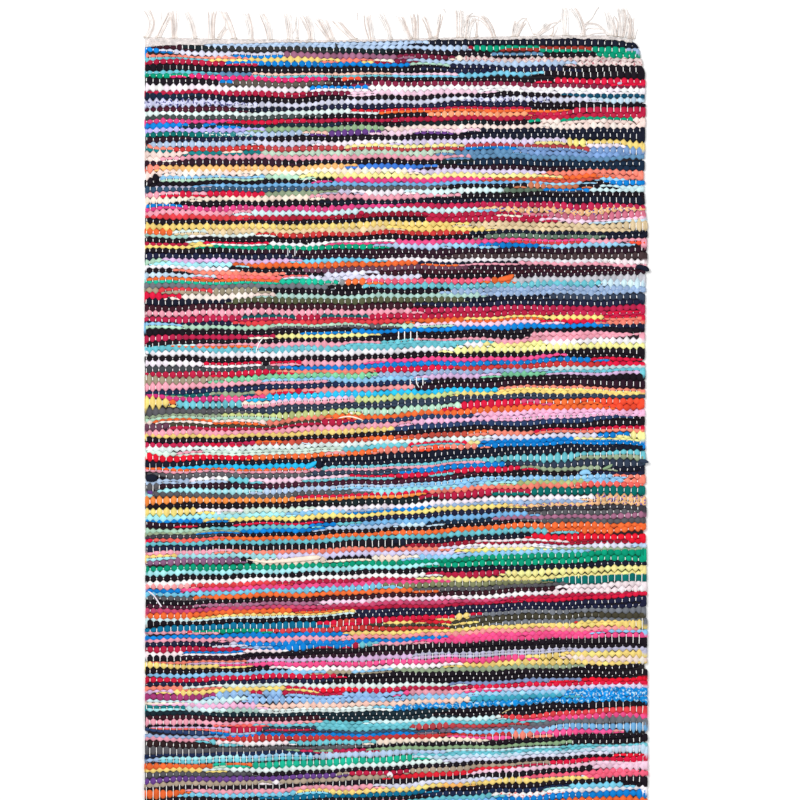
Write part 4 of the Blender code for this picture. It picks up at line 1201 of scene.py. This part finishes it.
def headingPicks(name, end, side):
    # each fine pick bulges over every warp and dips between two; picks are laid from the
    # outer edge inwards and the last ones run out where the band narrows
    count = rug["warps"] * perWarp + 1
    share = np.linspace(*heading["ends"], count)
    nominal = (share - 0.5) * rug["width"]
    outer = endLine(end, "outer", nominal, side) - side * heading["strip"]
    inner = endLine(end, "inner", nominal, side) - side * heading["gap"]
    wide = np.abs(outer - inner)
    x = acrossX(share, outer)
    points, faces, total = [], [], 0
    amount, over = heading["uneven"]
    for pick in range(heading["most"]):
        room = np.clip((wide - pick * heading["pitch"]) / 2, 0, heading["pitch"] / 2)
        shown = room > heading["least"]
        if not shown.any():
            continue
        y = outer - side * (pick * heading["pitch"] + room)
        bulge = 0.5 + 0.5 * np.cos((share * rug["warps"] + 0.5 * (pick % 2)) * 2 * math.pi)
        uneven = 1 + amount * smoothed(dice.normal(size=(1, count)), over)[0]
        rise = heading["rise"] * ((1 - heading["bulge"]) + heading["bulge"] * bulge) * uneven
        rise = np.minimum(rise, heading["middle"] - beads["floorGap"])
        rise = rise * (heading["low"] + (1 - heading["low"]) * room / room.max())
        half = room * (heading["swell"][0] + heading["swell"][1] * bulge)
        for turned, kind, step in ((1, "top", 1), (-1, "under", 2)):
            section = np.array(heading[kind])
            grid = np.empty((count, len(section), 3))
            grid[..., 0] = x[:, None]
            grid[..., 1] = y[:, None] + half[:, None] * section[None, :, 0]
            grid[..., 2] = heading["middle"] + turned * rise[:, None] * section[None, :, 1]
            grid, seen = grid[::step], shown[::step]
            quads = gridFaces(len(grid), len(section)).reshape(len(grid) - 1, -1, 4)
            quads = quads[seen[:-1] & seen[1:]].reshape(-1, 4)
            faces.append((quads if turned > 0 else quads[:, ::-1]) + total)
            points.append(grid.reshape(-1, 3))
            total += grid.shape[0] * grid.shape[1]
    return meshPiece(name, np.concatenate(points), np.concatenate(faces))


# fringe: the warp ends lie in small bunches, in millimetres from the rug's middle line
farBunches = {
    "root": (-397.6, -379, -352.8, -320.8, -293.3, -282.4, -257.3, -230.4, -200, -167.2, -156.8, -134.4,
             -101.3, -64, -37.3, -8, 24, 32.8, 56.8, 64.8, 103.2, 113.6, 129.6, 158, 191.2, 224, 251,
             272.8, 300.5, 345.6, 353.6, 363.2, 374.4, 381),
    "tip": (-397.6, -357.6, -353.6, -333.6, -292, -269.6, -277.1, -239.5, -211.5, -172, -158.4, -146.4,
            -120, -94.4, -43.2, -23.2, 7.2, 30.4, 44, 72.5, 103.2, 120, 126.4, 141, 200, 246.4, 257.6,
            273.3, 284, 338.4, 348.8, 362.4, 376.8, 385),
    "reach": (46, 44, 45, 44.5, 46, 20, 47, 46, 44, 45, 40, 42, 36, 32, 42, 44, 38, 42, 38, 41, 46, 38,
              34, 36, 26, 22, 16, 47, 46, 41, 34, 48, 36, 18),
    "yarns": (4, 4, 5, 4, 5, 2, 4, 4, 4, 4, 2, 5, 6, 4, 5, 4, 4, 4, 3, 3, 5, 5, 2, 3, 5, 3, 2, 5, 4, 4, 2,
              5, 3, 1),
    "spread": (7, 7, 8, 6, 8, 2, 7, 7, 7, 8, 2, 12, 15, 12, 9, 7, 9, 8, 4, 5, 8, 14, 8, 5, 14, 7, 3, 7, 8,
               7, 4, 10, 5, 0),
    "bow": (9, 0, 0, 2, -1, 1, 2, 2, 2.5, 0, 1, 3, 0, -2, -1, 2, 0, 1, 2, 0, 0, 0, 1, 2, 0, 1, 1, -1, 4,
            1, 1, 2, 1, 0),
}
# The near end's bunches follow one plain rule: they change in waves from bunch to bunch.
nearBunches = {
    "count": 27,
    "pitch": 28.9,
    "shift": -2.0,                           # of them all from the middle line
    "lean": ((6.0, 1.7, 0.0), (2.5, 0.9, 1.0)),    # from root to tip: two waves' height, pace and start
    "reach": (44.0, 4.0, 2.3),               # its middle value, then the wave's height and pace
    "fewest": 2,                             # yarns
    "spread": 3.0,                           # for each yarn
    "bow": (1.8, 0.9),                       # height and pace
}
# The yarns, in millimetres; "Lot" is how far a value strays by lot.
fringe = {
    "radius": 1.08,
    "radiusLot": 0.10,
    "points": 12,
    "sides": 5,
    "pitch": 1.15,                           # between two yarns at the root
    "plies": 1.7,                            # yarns made for each one in the table
    "fan": 4.5,                              # added to every bunch's spread
    "fanLot": 0.5,
    "shorter": (1.0, 5.0),                   # how much shorter a yarn is, and how much more by lot
    "inside": 2.5,                           # how far it starts inside the heading
    "bend": 1.1,                             # power that keeps it straight at first
    "bowLot": 0.5,
    "curl": (0.35, 9.0),                     # a small curl: its height by lot and its turns
    "taper": 0.30,                           # how much thinner it gets
    "knobs": (0.07, 40.0),                   # it swells and thins: by how much and its turns
    "tip": 0.35,                             # radius left at the tip
    "over": 1.3,                             # how much higher every second yarn lies at the root,
    "overFade": 0.6,                         # and the power by which that ends towards the tip
    "rise": (0.8, 9.0),                      # how high they leave the heading, and how fast they sink
    "floorGap": 0.06,
    "lowest": 0.02,                          # no point lies lower
    "mapFill": 0.94,                         # how much of its strip of the map a yarn fills
}
stray = {
    "bend": (61, 4.0),                       # fine points of a bend, and over how many it is smoothed
    "radius": 0.8,                           # of a bunch yarn's
    "tip": 0.4,
    "level": (0.8, 0.6),                     # how high it lies, and how much higher halfway
}
# The knots: how far beyond the heading, their reach past the yarns, radius, height, tone by number (tone 1
# a painted shadow).
knots = {
    "wide": (1.6, 0.7),                      # half width of a bunch at its root, and more for each yarn
    "parts": ((-1.0, 2.2, 0.55, 3.9, 1), (1.8, 0.0, 1.25, 2.4, 0)),
    "shiftLot": 0.8,
    "placeLot": 0.5,
    "sag": 0.25,                             # how much lower its two ends lie
    "blunt": 0.04,                           # square of the radius left at its ends
}
# Single yarns that leave their bunch: millimetres from the middle line and beyond the far end.
farStrays = (
    ((-398.4, 3), (-392, 16), (-385.6, 31)),
    ((-370, 8), (-371, 19), (-374.4, 32), (-374.4, 43)),
    ((-283, 2), (-270.4, 17), (-273.6, 31), (-278.4, 41.6)),
    ((-285, 3), (-273, 17), (-271, 28), (-275, 40)),
    ((-166, 3), (-158.4, 19), (-158.4, 37)),
    ((-60, 28), (-61, 34), (-60, 41)),
    ((80, 40), (79, 45), (77, 46)),
    ((105.6, 3), (113.6, 29), (123.2, 37.6), (139.2, 32), (150.4, 17.6), (157.6, 5)),
    ((108.8, 3), (118.4, 22), (129.6, 32), (142.4, 24), (155.2, 6)),
    ((107, 3), (111, 22), (117, 36), (126, 41)),
    ((193.6, 3), (192, 19), (200, 30), (208, 33.6), (214.4, 22), (220.8, 5)),
    ((196, 3), (200, 16), (206, 27), (212, 33)),
    ((224, 5), (236.8, 16), (251.2, 24), (267.2, 27)),
    ((228.8, 3), (244.8, 13), (257.6, 22), (266, 31)),
    ((300.8, 3), (299.2, 19), (305.6, 24.5), (321.6, 24), (331.2, 17.6), (342.4, 5)),
    ((303, 4), (301.5, 17), (308, 22.5), (321, 22), (330, 15.6), (339, 4)),
    ((302.4, 6), (307.2, 16.8), (316.8, 14.4), (329.6, 15.4), (337.6, 8)),
    ((304, 2), (317.8, 7.4), (334.4, 8.5), (342, 3)),
    ((302.4, 22), (314.2, 30), (320, 41.6), (326.9, 51)),
    ((377.6, 6), (378.2, 21), (376, 35), (369.1, 46.4)),
    ((374, 4), (375, 20), (371, 34), (362, 46)),
    ((364.8, 3), (362.4, 11), (364.8, 16.8), (370.4, 16.8), (372, 11), (368, 8)),
    ((361.6, 8), (356.8, 24), (349.8, 36)),
    ((382.4, 0), (385.1, 9.6)),
)
# A yarn's tone by lot: the first its own lit colour, the darker ones painted shade as if it lay in its
# neighbour's shade: share of the yarns, colour.
paintedYarnTones = ((0.50, (251, 246, 243)), (0.32, (242, 233, 228)), (0.18, (226, 213, 206)))
# the yarn's own tone for the knots, and a dark tone that paints the knot's shadow on the wrap
knotToneAndPaintedShadow = ((226, 214, 204), (176, 162, 148))


def nearTable():
    # the near end's bunches follow one plain rule, leaning a little by turns
    index = np.arange(nearBunches["count"])
    root = (index - (nearBunches["count"] - 1) / 2) * nearBunches["pitch"] + nearBunches["shift"]
    quick, slow = (height * np.sin(pace * index + start) for height, pace, start in nearBunches["lean"])
    middle, height, pace = nearBunches["reach"]
    bow, bowPace = nearBunches["bow"]
    yarns = nearBunches["fewest"] + (index % 4 == 1) + (index % 3 == 0)
    return {"root": root, "tip": root + (quick + slow), "yarns": yarns,
            "reach": middle + height * np.sin(pace * index),
            "spread": nearBunches["spread"] * yarns, "bow": bow * np.sin(bowPace * root)}


def paintedYarnTone():
    # one of the tones, as often as its share says
    lot = dice.random() - np.cumsum([0.0] + [share for share, _ in paintedYarnTones[:-1]])
    return linear(paintedYarnTones[int(np.sum(lot > 0)) - 1][1])


def bunchPaths(table, end, side):
    # every yarn runs from inside the heading to its tip on one slow bend, resting on the floor;
    # the yarns of a bunch lie close at the root and part towards their tips
    paths, radii, tones = [], [], []
    part = np.linspace(0, 1, fringe["points"])
    shorter, shorterLot = fringe["shorter"]
    curl, curlTurns = fringe["curl"]
    knob, knobTurns = fringe["knobs"]
    rise, sink = fringe["rise"]
    bunches = zip(*(table[key] for key in ("root", "tip", "reach", "yarns", "spread", "bow")))
    for root, tip, reach, plies, spread, bow in bunches:
        count = int(round(plies * fringe["plies"]))
        for yarn in range(count):
            place = yarn - (count - 1) / 2
            fan = place * (spread + fringe["fan"]) / max(1, count - 1) + fringe["fanLot"] * dice.normal()
            long = reach - shorterLot * dice.random() ** 2 * (count > 1) - shorter
            start = root + place * fringe["pitch"]
            x = start + (tip + fan - start) * part ** fringe["bend"]
            x = x + (bow + fringe["bowLot"] * dice.normal()) * np.sin(math.pi * part)
            x = x + curl * dice.normal() * np.sin(part * curlTurns + dice.random() * 6) * part
            edge = endLine(end, "outer", root * 0.001, side) * 1000
            y = edge + side * (-fringe["inside"] + (long + fringe["inside"]) * part)
            radius = fringe["radius"] * (1 + fringe["radiusLot"] * dice.normal())
            radius = radius * (1 - fringe["taper"] * part ** 3)
            radius = radius * (1 + knob * np.sin(part * knobTurns + dice.random() * 6))
            radius[-1] *= fringe["tip"]
            level = radius + (yarn % 2) * fringe["over"] * (1 - part) ** fringe["overFade"]
            level = level + rise * np.exp(-part * sink) + fringe["floorGap"]
            paths.append(np.stack([x, y, level], -1) * 0.001)
            radii.append(radius * 0.001)
            tones.append(paintedYarnTone())
    return paths, radii, tones


def strayPaths(strays, side):
    # a stray yarn bends smoothly through its places
    paths, radii, tones = [], [], []
    low, more = stray["level"]
    for places in strays:
        x, y = bentThrough(places, *stray["bend"], fringe["points"])
        radius = np.full(fringe["points"], fringe["radius"] * stray["radius"])
        radius[[0, -1]] *= stray["tip"]
        level = radius + low + more * np.sin(np.linspace(0, math.pi, fringe["points"]))
        paths.append(np.stack([x, side * (rug["length"] * 500 + y), level], -1) * 0.001)
        radii.append(radius * 0.001)
        tones.append(linear(paintedYarnTones[1][1]))
    return paths, radii, tones


def rootKnots(table, end, side):
    # where a bunch leaves the heading its yarns are knotted: a short wrap across the bunch, in the dark
    # tone of a painted shadow, and a thicker turn beyond it
    paths, radii, tones = [], [], []
    part = np.linspace(-1, 1, fringe["points"])
    roundness = np.sqrt(np.maximum(1 - part ** 2, knots["blunt"]))
    for root, plies in zip(table["root"], table["yarns"]):
        edge = endLine(end, "outer", root * 0.001, side) * 1000
        wide = knots["wide"][0] + knots["wide"][1] * plies
        for beyond, past, thick, lift, tone in knots["parts"]:
            x = root + knots["shiftLot"] * dice.normal() + (wide + past) * part
            moved, turned = dice.normal(), dice.normal()
            y = edge + side * (beyond + knots["placeLot"] * (moved + turned * part))
            level = lift * ((1 - knots["sag"]) + knots["sag"] * roundness)
            paths.append(np.stack([x, y, level], -1) * 0.001)
            radii.append(thick * roundness * 0.001)
            tones.append(linear(knotToneAndPaintedShadow[tone]))
    return paths, radii, tones


def fringeYarns(name, table, end, side, strays=()):
    # one piece for all the yarns and knots of an end
    groups = (bunchPaths(table, end, side), strayPaths(strays, side), rootKnots(table, end, side))
    paths, radii, tones = (np.array(sum((group[part] for group in groups), [])) for part in range(3))
    points, faces = tubes(paths, radii, fringe["sides"])
    points[:, 2] = np.maximum(points[:, 2], fringe["lowest"] * 0.001)
    shade = np.ones((len(points), 4))
    shade[:, :3] = np.repeat(tones, fringe["points"] * fringe["sides"], axis=0)
    return meshPiece(name, points, faces, colours=shade,
                     spread=tubeSpread(len(paths), fringe["points"], fringe["sides"]))


# finishes
cloth = {
    "sheenRough": 0.6,
    "fibreDetail": 4.0,
    "print": (230.0, 0.56, 0.60),            # scale of the print's noise, where a speck starts and is full
    "shadeFrom": (0.12, 0.40),               # the two noises' product that gives dark and light
    "roughEven": 0.08,                       # how far the roughness strays
    "folds": 0.0006,                         # depth of the creases
    "fibres": 0.0002,                        # and of the fibres,
    "fibreShare": 0.5,                       # which are so much weaker
}


def clothNode(tree, kind, place, feeds, **values):
    # one node: its settings, then what feeds each input, a plain value or another node's output
    node = tree.nodes.new(kind)
    node.location = place
    for key, value in values.items():
        setattr(node, key, value)
    for key, value in feeds.items():
        if isinstance(value, bpy.types.NodeSocket):
            tree.links.new(value, node.inputs[key])
        else:
            node.inputs[key].default_value = value
    return node


def clothNoise(tree, place, vector, scale, detail=2.0):
    # uneven cloth: a noise from 0 to 1
    feeds = {"Vector": vector, "Scale": scale, "Detail": detail}
    return clothNode(tree, "ShaderNodeTexNoise", place, feeds).outputs["Fac"]


def clothRange(tree, place, value, start, stop):
    # start and stop each give the value that comes in and the one that goes out
    feeds = {"Value": value, "From Min": start[0], "To Min": start[1],
             "From Max": stop[0], "To Max": stop[1]}
    return clothNode(tree, "ShaderNodeMapRange", place, feeds).outputs["Result"]


def clothProduct(tree, place, first, second):
    # two outputs multiplied
    made = clothNode(tree, "ShaderNodeMath", place, {0: first, 1: second}, operation="MULTIPLY")
    return made.outputs["Value"]


def clothMaterial(name, ground, roughness, grain):
    # ground is a plain colour or the name of a colour attribute; grain holds the noise scales
    material = bpy.data.materials.new(name)
    material.use_nodes = True
    tree = material.node_tree
    shader = tree.nodes["Principled BSDF"]
    shader.inputs["Sheen Weight"].default_value = grain["sheen"]
    shader.inputs["Sheen Roughness"].default_value = cloth["sheenRough"]
    shader.inputs["Specular IOR Level"].default_value = grain["gloss"]
    place = clothNode(tree, "ShaderNodeTexCoord", (-1500, 0), {}).outputs["Object"]
    feeds = {"Vector": place, "Scale": grain["stretch"]}
    stretched = clothNode(tree, "ShaderNodeMapping", (-1300, 0), feeds).outputs["Vector"]
    fibre = clothNoise(tree, (-1100, 150), stretched, grain["fibre"], cloth["fibreDetail"])
    crease = clothNoise(tree, (-1100, -150), stretched, grain["crease"])
    fade = clothNoise(tree, (-1100, 450), place, grain["fade"])
    if isinstance(ground, str):
        named = clothNode(tree, "ShaderNodeAttribute", (-1100, 700), {}, attribute_name=ground)
        colour = named.outputs["Color"]
    else:
        colour = (*linear(ground), 1.0)
    if grain.get("printed"):
        # specks of a second colour where the noise is high, on the rags that have one
        speck = clothNode(tree, "ShaderNodeAttribute", (-1100, 900), {}, attribute_name="speckColour")
        scale, begins, full = cloth["print"]
        specks = clothNoise(tree, (-1100, 1100), place, scale)
        cut = clothRange(tree, (-900, 1100), specks, (begins, 0.0), (full, 1.0))
        share = clothProduct(tree, (-700, 1100), cut, speck.outputs["Alpha"])
        feeds = {"Factor": share, "A": colour, "B": speck.outputs["Color"]}
        printed = clothNode(tree, "ShaderNodeMix", (-500, 800), feeds, data_type="RGBA")
        colour = printed.outputs["Result"]
    both = clothProduct(tree, (-800, 300), fibre, fade)
    begins, full = cloth["shadeFrom"]
    light = clothRange(tree, (-600, 300), both, (begins, grain["dark"]), (full, grain["light"]))
    tone = clothNode(tree, "ShaderNodeHueSaturation", (-250, 300), {"Color": colour, "Value": light})
    tree.links.new(tone.outputs["Color"], shader.inputs["Base Color"])
    even = cloth["roughEven"]
    rough = clothRange(tree, (-600, 0), crease, (0.0, roughness - even), (1.0, roughness + even))
    tree.links.new(rough, shader.inputs["Roughness"])
    feeds = {"Strength": grain["bump"], "Distance": cloth["folds"], "Height": crease}
    folds = clothNode(tree, "ShaderNodeBump", (-400, -250), feeds).outputs["Normal"]
    feeds = {"Strength": grain["bump"] * cloth["fibreShare"], "Distance": cloth["fibres"],
             "Height": fibre, "Normal": folds}
    fibres = clothNode(tree, "ShaderNodeBump", (-200, -250), feeds).outputs["Normal"]
    tree.links.new(fibres, shader.inputs["Normal"])
    return material


ragGrain = {"stretch": (1.0, 3.0, 2.0), "fibre": 900.0, "crease": 260.0, "fade": 60.0,
            "dark": 0.80, "light": 1.12, "bump": 0.6, "sheen": 0.0, "gloss": 0.08, "printed": True}
yarnGrain = {"stretch": (1.0, 1.0, 1.0), "fibre": 1500.0, "crease": 500.0, "fade": 90.0,
             "dark": 0.82, "light": 1.06, "bump": 0.5, "sheen": 0.1, "gloss": 0.2}
nubbyGrain = {"stretch": (1.0, 1.0, 1.0), "fibre": 800.0, "crease": 900.0, "fade": 160.0,
              "dark": 0.62, "light": 1.08, "bump": 1.0, "sheen": 0.1, "gloss": 0.2}
ragCloth = clothMaterial("rag cotton", "ragColour", 0.88, ragGrain)
warpCotton = clothMaterial("white warp cotton", "ragColour", 0.85, yarnGrain)
headingCotton = clothMaterial("cream heading yarn", (240, 232, 229), 0.88, nubbyGrain)
fringeCotton = clothMaterial("fringe yarn", "ragColour", 0.86, yarnGrain)
# the inner sheet's dark colour is painted shade for the gaps between the beads
paintedShadeCloth = clothMaterial("inner painted shade", (34, 26, 32), 0.92, yarnGrain)

top = weaveSide(False)
below = weaveSide(True)
stitches = [warpStitches("warpStitches", False), warpStitches("warpStitchesBelow", True)]
selvedgeRags = [selvedgeTurns("turnsLeft", -1), selvedgeTurns("turnsRight", 1)]
ground = paintedShadeSheet("innerShadeSheet")
loose = looseEnds("looseEnds")
headings = [headingPicks("headingFar", farEnd, 1), headingPicks("headingNear", nearEnd, -1)]
yarns = [fringeYarns("fringeFar", farBunches, farEnd, 1, farStrays),
         fringeYarns("fringeNear", nearTable(), nearEnd, -1)]
print("rug: headings and fringes made")

for piece in top + below + selvedgeRags + [loose]:
    piece.data.materials.append(ragCloth)
for piece in stitches:
    piece.data.materials.append(warpCotton)
for piece in headings:
    piece.data.materials.append(headingCotton)
for piece in yarns:
    piece.data.materials.append(fringeCotton)
ground.data.materials.append(paintedShadeCloth)

for piece in top + below + selvedgeRags + [ground, loose]:
    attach(piece, "root")
for piece in stitches + yarns:
    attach(piece, "root")
for piece in headings:
    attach(piece, "root")
for piece in top + below + stitches + selvedgeRags + [ground, loose]:
    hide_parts("rag_field")
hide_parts("heading_far")
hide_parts("heading_near")
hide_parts("fringe_far")
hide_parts("fringe_near")

# floor, light and camera
studio = {
    "floor": (0.98, 0.98, 0.98),
    "floorWide": 14.0,
    "floorRough": 0.9,
    "air": 0.40,                             # light from all round
    "key": ((-0.9, 1.3, 3.2), 1.6, 90),      # each light's place, size and power
    "fill": ((1.2, -0.8, 3.0), 2.2, 26),
    "frameWide": 1.28,                       # what the picture shows across
    "aim": (0.008, 0.1708),
    "height": 12.0,
    "sensor": 36.0,
    "farthest": 60.0,
}
bpy.ops.mesh.primitive_plane_add(size=studio["floorWide"], location=(0, 0, 0))
floor = bpy.context.object
floor.name = "floor"
paint = bpy.data.materials.new("floor")
paint.use_nodes = True
paint.node_tree.nodes["Principled BSDF"].inputs["Base Color"].default_value = (*studio["floor"], 1)
paint.node_tree.nodes["Principled BSDF"].inputs["Roughness"].default_value = studio["floorRough"]
floor.data.materials.append(paint)


def softLight(name, place, size, power):
    # a square light turned towards the middle of the floor
    lamp = bpy.data.lights.new(name, "AREA")
    lamp.size = size
    lamp.energy = power
    made = bpy.data.objects.new(name, lamp)
    made.location = place
    aim = math.atan2(math.hypot(place[0], place[1]), place[2])
    made.rotation_euler = (aim, 0, math.atan2(place[0], -place[1]))
    bpy.context.scene.collection.objects.link(made)


softLight("key", *studio["key"])
softLight("fill", *studio["fill"])
world = bpy.data.worlds.new("studio")
world.use_nodes = True
world.node_tree.nodes["Background"].inputs["Color"].default_value = (1, 1, 1, 1)
world.node_tree.nodes["Background"].inputs["Strength"].default_value = studio["air"]
bpy.context.scene.world = world
bpy.context.scene.view_settings.view_transform = "Standard"

lens = bpy.data.cameras.new("camera")
lens.sensor_width = studio["sensor"]
lens.lens = studio["sensor"] * studio["height"] / studio["frameWide"]
lens.clip_end = studio["farthest"]
camera = bpy.data.objects.new("camera", lens)
aimX, aimY = studio["aim"]
camera.location = (aimX - rug["boxMiddle"][0], aimY - rug["boxMiddle"][1], studio["height"])
bpy.context.scene.collection.objects.link(camera)
bpy.context.scene.camera = camera
